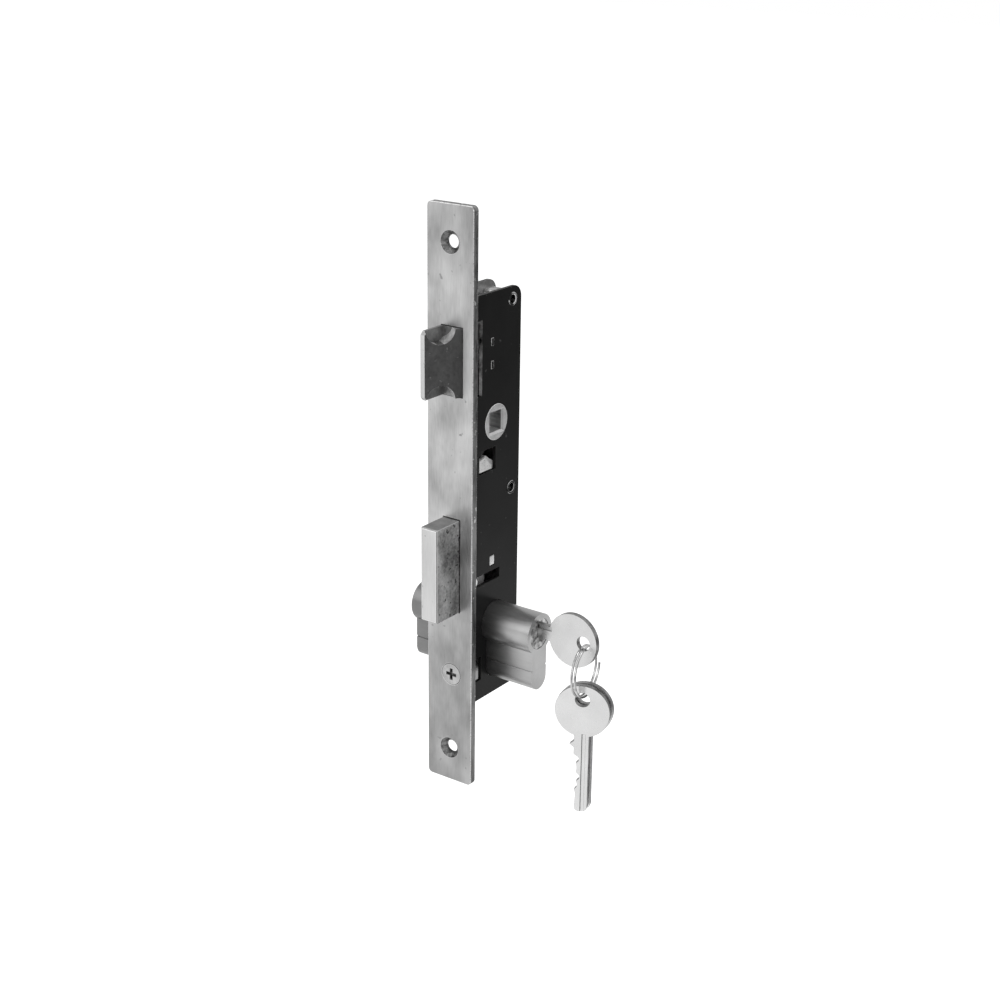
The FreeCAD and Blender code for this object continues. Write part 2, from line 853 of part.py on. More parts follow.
def wound_wire(radius, wire, pitch, turns, begin):
    """Unbroken round wire wound about Z, from an angle in radians."""
    quarters = max(1, round(turns * 4))
    step = turns * 2 * math.pi / quarters
    stops = [begin + step * index for index in range(quarters + 1)]
    edges = []
    for low, high in zip(stops, stops[1:]):
        edges += smooth_pair(
            helix_point(radius, pitch, low),
            helix_direction(radius, pitch, low),
            helix_point(radius, pitch, high),
            helix_direction(radius, pitch, high),
        )
    path = Part.Wire(edges)
    start = helix_point(radius, pitch, begin)
    section = Part.Wire(Part.Circle(start, helix_direction(radius, pitch, begin), wire / 2).toShape())
    sweep = Part.BRepOffsetAPI.MakePipeShell(path)
    sweep.add(section)
    sweep.build()
    sweep.makeSolid()
    return sweep.shape()


def least_gap(radius, wire, pitch, turns):
    """Least gap between neighbouring turns, measured on points of the helix."""
    count = 72
    total = int(turns * count)
    points = [helix_point(radius, pitch, 2 * math.pi * index / count) for index in range(total + 1)]
    gaps = [
        (points[first] - points[second]).Length - wire
        for first in range(0, total + 1, 4)
        for second in range(first + count // 2, total + 1)
    ]
    return min(gaps)


def wound_part(label, solid, placement):
    """Put a wound solid in the document at its place."""
    feature = doc.addObject("Part::Feature", label)
    feature.Shape = solid
    feature.Placement = placement
    return finished(feature, label)


spring_radius = (s.spring_outer.value - s.spring_wire.value) / 2
spring_run = s.spring_back.value + s.spring_front.value - s.spring_wire.value * 1.1
spring_pitch = spring_run / s.spring_turns.value
spring_solid = wound_wire(spring_radius, s.spring_wire.value, spring_pitch, s.spring_turns.value, 0.0)
spring_start = FreeCAD.Vector(
    spring_x.value, s.spring_wire.value * 0.55 - s.spring_front.value, s.spring_height.value
)
wound_part("latch_spring", spring_solid, FreeCAD.Placement(spring_start, FreeCAD.Rotation(axis_x, -90)))
spring_gap = least_gap(spring_radius, s.spring_wire.value, spring_pitch, s.spring_turns.value)
print(f"least gap between turns of the latch spring {spring_gap:.3f} mm")


# Plate behind the latch spring, held by two tabs in each side plate

plate_low = (far_inner + s.tab_clearance, s.spring_back, s.spring_plate_low)
plate_high = (near_inner - s.tab_clearance, s.spring_back + s.spring_plate_thick, s.spring_plate_high)
backing = [box("spring_plate_sheet", plate_low, plate_high)]
for label, low in (("lower", tab_low), ("upper", tab_high - s.tab_height)):
    backing.append(
        box(
            f"{label}_tab",
            (far_outer, s.spring_back, low),
            (near_outer, s.spring_back + s.spring_plate_thick, low + s.tab_height),
        )
    )
spigot_start = (spring_x, s.spring_back - s.spigot_reach, s.spring_height)
backing.append(rod("spring_spigot", "y", s.spigot_radius, spigot_start, s.spigot_reach + 0.5))
finished(fuse("spring_plate", backing), "latch_spring_plate")


# Hub: round boss with a square hole, a flange, an arm for the latch and a toe for the lever

follower_hub = new_body("follower_hub")
profile = new_sketch(follower_hub, "YZ_Plane", far_outer - s.hub_proud)
circle(profile, (s.backset, s.hub_height), s.hub_radius)
boss = pad(follower_hub, profile, across + s.hub_proud * 2)
flange_left = far_inner + s.flange_clearance
flange_thick = s.case_gap - s.flange_clearance * 2
profile = new_sketch(follower_hub, "YZ_Plane", flange_left)
circle(profile, (s.backset, s.hub_height), s.hub_flange)
pad(follower_hub, profile, flange_thick)


def radial(lean, reach, aside, downward):
    """Point at a reach from the hub's axis, along a line that leans towards the faceplate."""
    sign = -1 if downward else 1
    depth = s.backset - reach * sine(lean) + aside * cosine(lean)
    height = s.hub_height + (reach * cosine(lean) + aside * sine(lean)) * sign
    return (depth, height)


arm_left = s.mid_offset - s.arm_thick / 2
profile = new_sketch(follower_hub, "YZ_Plane", arm_left)
outline(
    profile,
    [
        radial(s.arm_lean, s.hub_flange * 0.5, -s.arm_tip * 1.9, False),
        radial(s.arm_lean, s.hub_flange * 0.5, s.arm_tip * 1.9, False),
        radial(s.arm_lean, s.hub_flange, s.arm_tip * 1.5, False),
        radial(s.arm_lean, s.arm_length - s.arm_tip * 1.8, s.arm_neck, False),
        radial(s.arm_lean, s.arm_length, s.arm_neck, False),
        radial(s.arm_lean, s.arm_length, -s.arm_neck, False),
        radial(s.arm_lean, s.arm_length - s.arm_tip * 1.8, -s.arm_neck, False),
        radial(s.arm_lean, s.hub_flange, -s.arm_tip * 1.5, False),
    ],
)
pad(follower_hub, profile, s.arm_thick)
profile = new_sketch(follower_hub, "YZ_Plane", arm_left)
circle(profile, radial(s.arm_lean, s.arm_length, as_size(0.0), False), s.arm_tip)
pad(follower_hub, profile, s.arm_thick)
toe_left = near_inner - s.side_clearance - s.lever_thick
profile = new_sketch(follower_hub, "YZ_Plane", toe_left)
outline(
    profile,
    [
        radial(s.toe_lean, s.hub_flange * 0.5, -s.toe_tip * 3, True),
        radial(s.toe_lean, s.hub_flange * 0.5, s.toe_tip * 3, True),
        radial(s.toe_lean, s.toe_length, s.toe_tip, True),
        radial(s.toe_lean, s.toe_length, -s.toe_tip, True),
    ],
)
pad(follower_hub, profile, s.lever_thick)
profile = new_sketch(follower_hub, "YZ_Plane", toe_left)
circle(profile, radial(s.toe_lean, s.toe_length, as_size(0.0), True), s.toe_tip)
pad(follower_hub, profile, s.lever_thick)
profile = new_sketch(follower_hub, "YZ_Plane", far_outer - 1)
half = s.hub_square / 2
rectangle(
    profile,
    (s.backset - half, s.hub_height - half),
    (s.backset + half, s.hub_height + half),
)
hub_hole = pocket(follower_hub, profile, across + 2, backwards=True)
doc.recompute()
ends = (far_outer.value - s.hub_proud.value, near_outer.value + s.hub_proud.value)
mouth = []
for index, edge in enumerate(hub_hole.Shape.Edges, start=1):
    centre = edge.CenterOfMass
    at_end = min(abs(centre.x - end) for end in ends) < 1e-6
    if at_end and edge.Curve.TypeId == "Part::GeomLine":
        mouth.append(f"Edge{index}")
chamfer = follower_hub.newObject("PartDesign::Chamfer", "hub_mouth_edge")
chamfer.Base = (hub_hole, mouth)
bind(chamfer, "Size", s.hub_mouth)


# Lever: pivots on its post, reaches up under the hub's toe and down towards the cylinder

latch_lever = new_body("latch_lever")
profile = new_sketch(latch_lever, "YZ_Plane", lever_left)
tail_left = s.pivot_depth + s.lever_ring - s.lever_tail_width - s.lever_tail_inset


def under_hub(ahead, drop):
    """Point ahead of the hub's axis and below it."""
    return (s.backset - ahead, s.hub_height - drop)


outline(
    profile,
    [
        under_hub(s.nose_ahead, s.nose_low),
        under_hub(-s.belly_behind, s.belly_drop),
        (s.pivot_depth - s.lever_ring, s.pivot_height - s.lever_neck),
        (tail_left, s.pivot_height - s.lever_ring - s.lever_waist),
        (tail_left, -s.lever_tail_end),
        (tail_left + s.lever_tail_width, -s.lever_tail_end),
        (tail_left + s.lever_tail_width, s.pivot_height),
        (s.pivot_depth + s.lever_back_depth, s.pivot_height + s.lever_back_rise),
        under_hub(-s.slope_behind, s.slope_drop),
        under_hub(s.shoulder_ahead, s.shoulder_drop),
        under_hub(s.crown_ahead, s.crown_drop),
        under_hub(s.nose_ahead, s.nose_high),
    ],
)
pad(latch_lever, profile, s.lever_thick)
profile = new_sketch(latch_lever, "YZ_Plane", lever_right)
outline(
    profile,
    [
        under_hub(s.boss_ahead, s.boss_drop),
        under_hub(s.boss_rear_ahead, s.boss_drop),
        under_hub(s.boss_rear_ahead, s.boss_rear_drop),
        under_hub(s.boss_bend_ahead, s.boss_bend_drop),
        under_hub(s.boss_peak_ahead, s.boss_peak_drop),
        under_hub(s.boss_ahead, s.boss_front_drop),
    ],
)
pad(latch_lever, profile, near_outer - s.pin_sunk - lever_right)
profile = new_sketch(latch_lever, "YZ_Plane", lever_left)
circle(profile, pivot_spot, s.lever_ring)
pad(latch_lever, profile, s.lever_thick)
profile = new_sketch(latch_lever, "YZ_Plane", lever_left - 1)
circle(profile, pivot_spot, s.journal_radius + s.journal_clearance)
pocket(latch_lever, profile, s.lever_thick + 2, backwards=True)


# Deadbolt: thick head, thinner tail with a drive notch, and a guide pin across it

tail_right = dead_left + s.tail_thick
deadbolt = new_body("deadbolt")
profile = new_sketch(deadbolt, "YZ_Plane", dead_left)
outline(
    profile,
    [
        (-s.dead_reach, -s.dead_low),
        (s.strip_rear, -s.dead_low),
        (s.strip_rear, -s.strip_high),
        (s.dead_rear, -s.strip_high),
        (s.dead_rear, -s.dead_high),
        (-s.dead_reach, -s.dead_high),
    ],
)
block = pad(deadbolt, profile, s.dead_thick)
doc.recompute()
front_edges = edges_along(block.Shape, axis_z, lambda point: abs(point.y + s.dead_reach.value) < 1e-6)
front_edges += edges_along(block.Shape, axis_x, lambda point: abs(point.y + s.dead_reach.value) < 1e-6)
bevel = deadbolt.newObject("PartDesign::Chamfer", "deadbolt_front_edge")
bevel.Base = (block, front_edges)
bind(bevel, "Size", s.dead_corner)
profile = new_sketch(deadbolt, "YZ_Plane", dead_left)
outline(
    profile,
    [
        (s.dead_rear - 1, -s.strip_high),
        (s.notch_front, -s.strip_high),
        (s.notch_front, s.notch_deep - s.strip_high),
        (s.notch_rear, s.notch_deep - s.strip_high),
        (s.notch_rear, -s.strip_high),
        (s.tail_rear, -s.strip_high),
        (s.tail_rear, -s.tail_high),
        (s.dead_rear - 1, -s.tail_high),
    ],
)
pad(deadbolt, profile, s.tail_thick)
profile = new_sketch(deadbolt, "YZ_Plane", dead_left - 1)
circle(profile, (s.pin_depth, -s.pin_height), s.pin_radius)
pocket(deadbolt, profile, s.dead_thick + 2, backwards=True)
pin_start = (far_outer + s.pin_sunk, s.pin_depth, -s.pin_height)
finished(rod("guide_pin", "x", s.pin_radius, pin_start, across - s.pin_sunk * 2), "deadbolt_pin")

leaf_left = near_inner - s.leaf_thick - s.leaf_gap
leaf = box(
    "leaf_strip",
    (leaf_left, s.leaf_front, s.leaf_clearance - s.leaf_window_low),
    (leaf_left + s.leaf_thick, s.leaf_rear, -s.leaf_window_high - s.leaf_clearance),
)
leaf_tab = box(
    "leaf_tab",
    (
        leaf_left,
        s.leaf_window_front + s.leaf_clearance,
        s.leaf_clearance - s.leaf_window_low,
    ),
    (
        near_outer - s.pin_sunk,
        s.leaf_window_rear - s.leaf_clearance,
        -s.leaf_window_high - s.leaf_clearance,
    ),
)
finished(fuse("leaf_solid", [leaf, leaf_tab]), "detent_spring")


# Profile cylinder body: barrel, flat lower body with a round foot, and the gap for the cam

barrel_left = s.mid_offset - half_barrel
barrel_right = s.mid_offset + half_barrel
foot_height = cylinder_height - s.body_drop + s.body_width / 2
gap_left = s.mid_offset - s.cam_gap / 2
gap_right = s.mid_offset + s.cam_gap / 2
barrel = rod("barrel", "x", s.barrel_radius, (barrel_left, s.backset, cylinder_height), s.barrel_length)
lower_body = box(
    "lower_body",
    (barrel_left, s.backset - s.body_width / 2, foot_height),
    (barrel_right, s.backset + s.body_width / 2, cylinder_height),
)
foot = rod("foot", "x", s.body_width / 2, (barrel_left, s.backset, foot_height), s.barrel_length)
cam_space = box(
    "cam_space",
    (gap_left, s.backset - beyond, cylinder_height - s.cam_gap_low),
    (gap_right, s.backset + beyond, cylinder_height + beyond),
)
plug_space = rod(
    "plug_space",
    "x",
    s.plug_radius + s.plug_clearance,
    (barrel_left - 1, s.backset, cylinder_height),
    s.barrel_length + 2,
)
bridge_hole = rod(
    "bridge_hole",
    "y",
    s.bridge_radius + s.screw_clearance,
    (s.mid_offset, s.backset - beyond, screw_height),
    beyond * 2,
)
cylinder_cuts = [cam_space, plug_space, bridge_hole]
for label, depth in (("front", -s.body_width / 2 - 1), ("rear", s.body_width / 2 - s.groove_deep)):
    low = cylinder_height - s.groove_drop - s.groove_width / 2
    cylinder_cuts.append(
        box(
            f"{label}_groove",
            (barrel_left - 1, s.backset + depth, low),
            (barrel_right + 1, s.backset + depth + s.groove_deep + 1, low + s.groove_width),
        )
    )
chamber_places = []
for index in range(5):
    inset = s.chamber_first + chamber_pitch * index
    chamber_places.append(("near", index, barrel_right - inset))
    chamber_places.append(("far", index, barrel_left + inset))
for side, index, along in chamber_places:
    cylinder_cuts.append(
        rod(
            f"{side}_chamber_{index}",
            "z",
            s.chamber_radius,
            (along, s.backset, cylinder_height - s.chamber_end),
            s.chamber_end - 3,
        )
    )
cylinder_solid = fuse("cylinder_solid", [barrel, lower_body, foot])
finished(cut("cylinder_cut", cylinder_solid, cylinder_cuts), "cylinder_body")

key_low = cylinder_height + s.key_rise - s.key_width / 2
key_high = cylinder_height + s.key_rise + s.key_width / 2


def plug(side, start, length):
    """Plug with a keyway, five tumbler holes and a clip groove at its inner end."""
    turning = rod(f"{side}_plug", "x", s.plug_radius, (start, s.backset, cylinder_height), length)
    keyway = box(
        f"{side}_keyway",
        (start - 1, s.backset - s.key_thick / 2 - s.key_clearance, key_low - s.key_clearance),
        (start + length + 1, s.backset + s.key_thick / 2 + s.key_clearance, key_high + s.key_clearance),
    )
    tools = [keyway]
    for name, index, along in chamber_places:
        if name == side:
            low = cylinder_height - s.plug_radius - 1
            length = key_low + s.key_width / 2 - low
            start_point = (along, s.backset, low)
            tools.append(rod(f"{side}_tumbler_hole_{index}", "z", s.chamber_radius, start_point, length))
    return cut(f"plug_{side}_blank", turning, tools)


cam_left = s.mid_offset - s.cam_thick / 2
cam_right = s.mid_offset + s.cam_thick / 2
clip_near_left = gap_right - s.clip_clearance - s.clip_thick
clip_far_left = gap_left + s.clip_clearance


def clip_ring(name, start, thick, outer, inner):
    """Ring about the cylinder's axis, open at the top."""
    outside = rod(f"{name}_outside", "x", outer, (start, s.backset, cylinder_height), thick)
    inside = rod(f"{name}_inside", "x", inner, (start - 1, s.backset, cylinder_height), thick + 2)
    opening = box(
        f"{name}_opening",
        (start - 1, s.backset - s.key_width / 2, cylinder_height),
        (start + thick + 1, s.backset + s.key_width / 2, cylinder_height + s.barrel_radius + 1),
    )
    return cut(name, outside, [inside, opening])


plug_near = plug("near", cam_right, barrel_right - s.plug_recess - cam_right)
groove = clip_ring(
    "near_groove", clip_near_left, s.clip_thick, s.plug_radius + 1, s.plug_radius - s.clip_groove
)
finished(cut("plug_near", plug_near, [groove]), "plug_near")
far_inner_end = clip_far_left + s.clip_thick
plug_far = plug("far", barrel_left + s.plug_recess, far_inner_end - barrel_left - s.plug_recess)
groove = clip_ring(
    "far_groove", clip_far_left, s.clip_thick, s.plug_radius + 1, s.plug_radius - s.clip_groove
)
finished(cut("plug_far", plug_far, [groove]), "plug_far")
clip_inner = s.plug_radius - s.clip_groove + s.plug_clearance
finished(clip_ring("clip_near_ring", clip_near_left, s.clip_thick, s.clip_radius, clip_inner), "clip_near")
finished(clip_ring("clip_far_ring", clip_far_left, s.clip_thick, s.clip_radius, clip_inner), "clip_far")

cylinder_cam = new_body("cylinder_cam")
profile = new_sketch(cylinder_cam, "YZ_Plane", cam_left)
circle(profile, (s.backset, cylinder_height), s.cam_radius)
pad(cylinder_cam, profile, s.cam_thick)


def tooth_point(reach, aside):
    """Point on the cam's tooth, which hangs below the axis and leans to the faceplate."""
    depth = s.backset - reach * sine(s.tooth_rest) + aside * cosine(s.tooth_rest)
    height = cylinder_height - reach * cosine(s.tooth_rest) - aside * sine(s.tooth_rest)
    return (depth, height)


profile = new_sketch(cylinder_cam, "YZ_Plane", cam_left)
half = s.tooth_width / 2
tooth_end = root(s.tooth_reach * s.tooth_reach - half * half)
outline(
    profile,
    [
        tooth_point(s.cam_radius * 0.9, -half),
        tooth_point(s.cam_radius * 0.9, half),
        tooth_point(tooth_end, half * 0.8),
        tooth_point(tooth_end, -half * 0.8),
    ],
)
pad(cylinder_cam, profile, s.cam_thick)
profile = new_sketch(cylinder_cam, "YZ_Plane", cam_left - 1)
circle(profile, (s.backset, cylinder_height), s.cam_bore)
pocket(cylinder_cam, profile, s.cam_thick + 2, backwards=True)


# Tumblers: key pins in the plugs, driver pins and their springs in the body

cut_depths = (s.cut_first, s.cut_second, s.cut_third, s.cut_fourth, s.cut_fifth)
pin_size = s.chamber_radius - s.tumbler_clearance
for side, label in (("near", "key_pins_near"), ("far", "key_pins_far")):
    pins = []
    for name, index, along in chamber_places:
        if name == side:
            top = key_low + cut_depths[index] - s.key_clearance
            low = cylinder_height - s.tumbler_split
            waist = top - s.pin_point
            stem = rod(f"{side}_key_pin_{index}", "z", pin_size, (along, s.backset, low), waist - low)
            point = doc.addObject("Part::Cone", f"{side}_key_pin_point_{index}")
            bind(point, "Radius1", pin_size)
            bind(point, "Radius2", pin_size * 0.4)
            bind(point, "Height", s.pin_point)
            place(point, (along, s.backset, waist))
            pins.append(fuse(f"{side}_key_pin_whole_{index}", [stem, point]))
    finished(fuse(f"{side}_pins", pins), label)
drivers = []
springs = []
for side, index, along in chamber_places:
    driver_low = cylinder_height - s.driver_start - s.driver_length
    start = (along, s.backset, driver_low)
    drivers.append(rod(f"{side}_driver_{index}", "z", pin_size, start, s.driver_length))
    spring_low = cylinder_height - s.chamber_end + s.key_clearance
    length = driver_low - spring_low - s.key_clearance
    start = (along, s.backset, spring_low)
    sleeve = rod(f"{side}_sleeve_{index}", "z", pin_size, start, length)
    middle = rod(f"{side}_sleeve_bore_{index}", "z", pin_size * 0.7, start, length)
    springs.append(cut(f"{side}_pin_spring_{index}", sleeve, [middle]))
finished(fuse("driver_set", drivers), "driver_pins")
finished(fuse("spring_set", springs), "pin_springs")


# Cylinder screw: countersunk head in the faceplate, shank through the cylinder's bridge

head_cone = cone(
    "screw_cone",
    s.screw_head,
    s.screw_radius,
    (s.mid_offset, as_size(0.0), screw_height),
    s.screw_head - s.screw_radius,
)
shank = rod("screw_shank", "y", s.screw_radius, (s.mid_offset, as_size(0.0), screw_height), s.screw_length)
cross = []
for label, half_x, half_z in (
    ("level", s.cross_length / 2, s.cross_width / 2),
    ("upright", s.cross_width / 2, s.cross_length / 2),
):
    cross.append(
        box(
            f"cross_{label}",
            (s.mid_offset - half_x, as_size(-1.0), screw_height - half_z),
            (s.mid_offset + half_x, s.cross_deep, screw_height + half_z),
        )
    )
finished(cut("screw_solid", fuse("screw_blank", [head_cone, shank]), cross), "cylinder_screw")


# Keys: round bow with a hole, neck, shoulder, cut blade with grooves; own origin at the hole

tip_turns = [math.radians(turned) for turned in (15, 35, 55, 75, 90)]


def make_key(label):
    """Key along its own X axis, blade to the left, cuts facing down."""
    body = new_body(label)
    bow_x = s.hole_inset - s.bow_radius
    shoulder = bow_x - s.bow_radius - s.key_neck
    tip = shoulder - half_barrel + s.key_tip_gap
    half = s.key_width / 2
    profile = new_sketch(body, "XZ_Plane")
    circle(profile, (bow_x, 0.0), s.bow_radius)
    pad(body, profile, s.key_thick, both=True)
    corners = []
    for turned in tip_turns:
        ahead = 1 - math.cos(turned)
        corners.append((tip + s.key_tip_cut * ahead, half * (-0.75 * math.sin(turned))))
    for index in reversed(range(5)):
        depth = cut_depths[index]
        centre = shoulder - s.chamber_first - chamber_pitch * index
        corners.append((centre - s.cut_half, depth - half))
        corners.append((centre + s.cut_half, depth - half))
        if index > 0:
            following = cut_depths[index - 1]
            ridge = (depth + following) / 2 - 0.9
            corners.append((centre + chamber_pitch / 2, ridge - half))
    first_centre = shoulder - s.chamber_first
    corners.append((first_centre + s.cut_half + s.cut_first * s.cut_slope, -half))
    corners.append((shoulder, -half))
    corners.append((shoulder + s.key_shoulder_long / 2, -half - s.key_shoulder))
    corners.append((shoulder + s.key_shoulder_long, -half))
    corners.append((bow_x - s.bow_radius * 0.8, -half))
    corners.append((bow_x - s.bow_radius * 0.8, half))
    for turned in reversed(tip_turns):
        ahead = 1 - math.cos(turned)
        corners.append((tip + s.key_tip * ahead, half * math.sin(turned)))
    profile = new_sketch(body, "XZ_Plane")
    outline(profile, corners)
    pad(body, profile, s.key_thick, both=True)
    profile = new_sketch(body, "XZ_Plane")
    circle(profile, (0.0, 0.0), s.bow_hole)
    pocket(body, profile, s.key_thick * 2, both=True)
    for lift, height, backwards in ((s.key_thick / 2, 1.6, False), (-s.key_thick / 2, 0.2, True)):
        profile = new_sketch(body, "XZ_Plane", lift)
        rectangle(
            profile,
            (tip - 1, half * 0.25 * height),
            (shoulder + s.groove_start, half * 0.25 * height + s.groove_high),
        )
        pocket(body, profile, s.groove_depth, backwards=backwards)
    return body


key_hole_x = barrel_right + s.key_neck + s.bow_radius * 2 - s.hole_inset
key_axis_height = cylinder_height + s.key_rise
key_1 = make_key("key_1")
place(key_1, (key_hole_x, s.backset, key_axis_height))


# Split ring through the first key's hole, and two keys hanging from it

ring_solid = wound_wire(
    s.ring_radius.value, s.ring_wire.value, s.ring_pitch.value, s.ring_turns.value, 0.0
)
ring_top = key_axis_height.value - s.ring_hang.value
ring_axis = FreeCAD.Rotation(axis_z, -s.ring_turned.value).multVec(axis_x)
ring_shift = ring_axis * (s.ring_pitch.value / 4)
ring_centre = FreeCAD.Vector(key_hole_x.value, s.backset.value, ring_top - s.ring_radius.value) + ring_shift
across_ring = FreeCAD.Rotation(axis_z, -s.ring_turned.value).multVec(axis_y)
ring_turn = FreeCAD.Rotation(across_ring, axis_z, ring_axis, "ZXY")
ring_half = s.ring_pitch.value * s.ring_turns.value / 2
wound_part("key_ring", ring_solid, FreeCAD.Placement(ring_centre - ring_axis * ring_half, ring_turn))
ring_gap = least_gap(s.ring_radius.value, s.ring_wire.value, s.ring_pitch.value, s.ring_turns.value)
print(f"least gap between turns of the key ring {ring_gap:.3f} mm")

keys_normal = FreeCAD.Vector(
    math.sin(math.radians(s.keys_azimuth.value)), -math.cos(math.radians(s.keys_azimuth.value)), 0
)
keys_side = keys_normal.cross(axis_z) * -1
hole_height = ring_top - s.ring_radius.value * 2 - s.keys_hang.value
for label, side in (("key_2", 1), ("key_3", -1)):
    hanging = make_key(label)
    spot = FreeCAD.Vector(key_hole_x.value, s.backset.value, hole_height) + ring_shift * 2
    spot += across_ring * (-side * s.keys_spacing.value / 2)
    upright = FreeCAD.Rotation(axis_z, keys_normal, keys_side, "ZXY")
    tilt = FreeCAD.Rotation(keys_normal, s.keys_tilt.value * side)
    hanging.Placement = FreeCAD.Placement(spot, tilt.multiply(upright))


# Build, test and write the sub-parts

doc.recompute()
problems = []
for item in doc.Objects:
    if "Invalid" in item.State or "Error" in item.State:
        problems.append(f"{item.Name} {item.State}")
for item in parts:
    if item.Shape.isNull() or not item.Shape.isValid() or not item.Shape.Solids:
        problems.append(f"{item.Label} has no valid shape")
if problems:
    raise RuntimeError("; ".join(problems))
os.makedirs("parts", exist_ok=True)
for item in parts:
    item.Shape.exportStep(os.path.join("parts", f"{item.Label}.step"))
    print(f"{item.Label} {len(item.Shape.Solids)} solids {item.Shape.Volume:.1f} mm3")
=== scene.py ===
"""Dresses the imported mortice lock: finishes, softened edges, wound wire, studio and camera."""

import logging
import math
from dataclasses import dataclass, replace
from enum import Enum
from typing import Callable

import bmesh
import bpy
from mathutils import Matrix, Vector


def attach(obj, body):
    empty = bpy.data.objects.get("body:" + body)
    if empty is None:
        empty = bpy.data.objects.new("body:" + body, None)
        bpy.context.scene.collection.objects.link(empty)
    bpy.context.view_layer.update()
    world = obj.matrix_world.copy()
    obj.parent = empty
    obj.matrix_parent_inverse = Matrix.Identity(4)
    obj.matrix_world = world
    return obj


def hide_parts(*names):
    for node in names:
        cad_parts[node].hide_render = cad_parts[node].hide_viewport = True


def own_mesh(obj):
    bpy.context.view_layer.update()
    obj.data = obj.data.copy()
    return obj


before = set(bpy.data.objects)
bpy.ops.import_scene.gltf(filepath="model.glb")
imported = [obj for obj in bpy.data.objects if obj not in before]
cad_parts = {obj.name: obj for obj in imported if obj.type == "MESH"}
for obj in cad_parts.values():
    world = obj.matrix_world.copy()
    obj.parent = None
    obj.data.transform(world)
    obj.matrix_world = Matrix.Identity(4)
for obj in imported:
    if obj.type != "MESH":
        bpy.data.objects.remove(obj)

Socket = bpy.types.NodeSocket
Span = tuple[float, float]
Triple = tuple[float, float, float]
Colour = tuple[float, float, float, float]

LOG = logging.getLogger("lock")
MM = 0.001
EVEN = (1.0, 1.0, 1.0)

# Where a mix node set to colours has its share, its two colours and its result.
MIX_INPUTS = (0, 6, 7)
MIX_RESULT = 2

# Parts of a normal along an axis from which a face looks straight that way, or mostly.
STRAIGHT = 0.8
TOWARD = 0.5

# Levels of detail of the finishes' noises, and the spans of noise that count.
BROAD_DETAIL = 3.0
GRAIN_DETAIL = 5.0
SPOT_DETAIL = 2.0
MOTTLE_SPAN = (0.36, 0.64)
GRAIN_SPAN = (0.3, 0.7)

# Pits lie where the noise is below an edge, which rises with their share.
PIT_EDGE = 0.36
PIT_GAIN = 0.5
PIT_SOFTNESS = 0.05

# The painted highlights and shade on the edges leave them alone where the noise is low, up to a
# level that rises with the gaps.
RIM_PATCH_SCALE = 260.0
RIM_PATCH_EDGE = 0.3
RIM_PATCH_GAIN = 0.4
RIM_PATCH_SOFTNESS = (-0.06, 0.02)

# A rim above this level is a painted highlight, and keeps this share of the metallic value.
HIGHLIGHT_RIM = 0.5
HIGHLIGHT_METAL = 0.2


class Body(Enum):
    """The lock's moving bodies, by the names of the empties that carry them."""

    CASE = "case"
    HUB = "hub"
    LATCH = "latch"
    LEVER = "lever"
    DEADBOLT = "deadbolt"
    PLUG = "plug"
    RING = "ring"
    SECOND_KEY = "second_key"
    THIRD_KEY = "third_key"


def linear(level: float) -> float:
    """Turn one display level from 0 to 1 into the shader's linear value."""
    return level / 12.92 if level <= 0.04045 else ((level + 0.055) / 1.055) ** 2.4


def grey(level: float, warmth: float = 0.0) -> Colour:
    """Give the linear colour of a grey of a display level, with warmth from blue to red."""
    shades = (level + warmth, level, level - warmth)
    return tuple(linear(min(1.0, max(0.0, shade))) for shade in shades) + (1.0,)


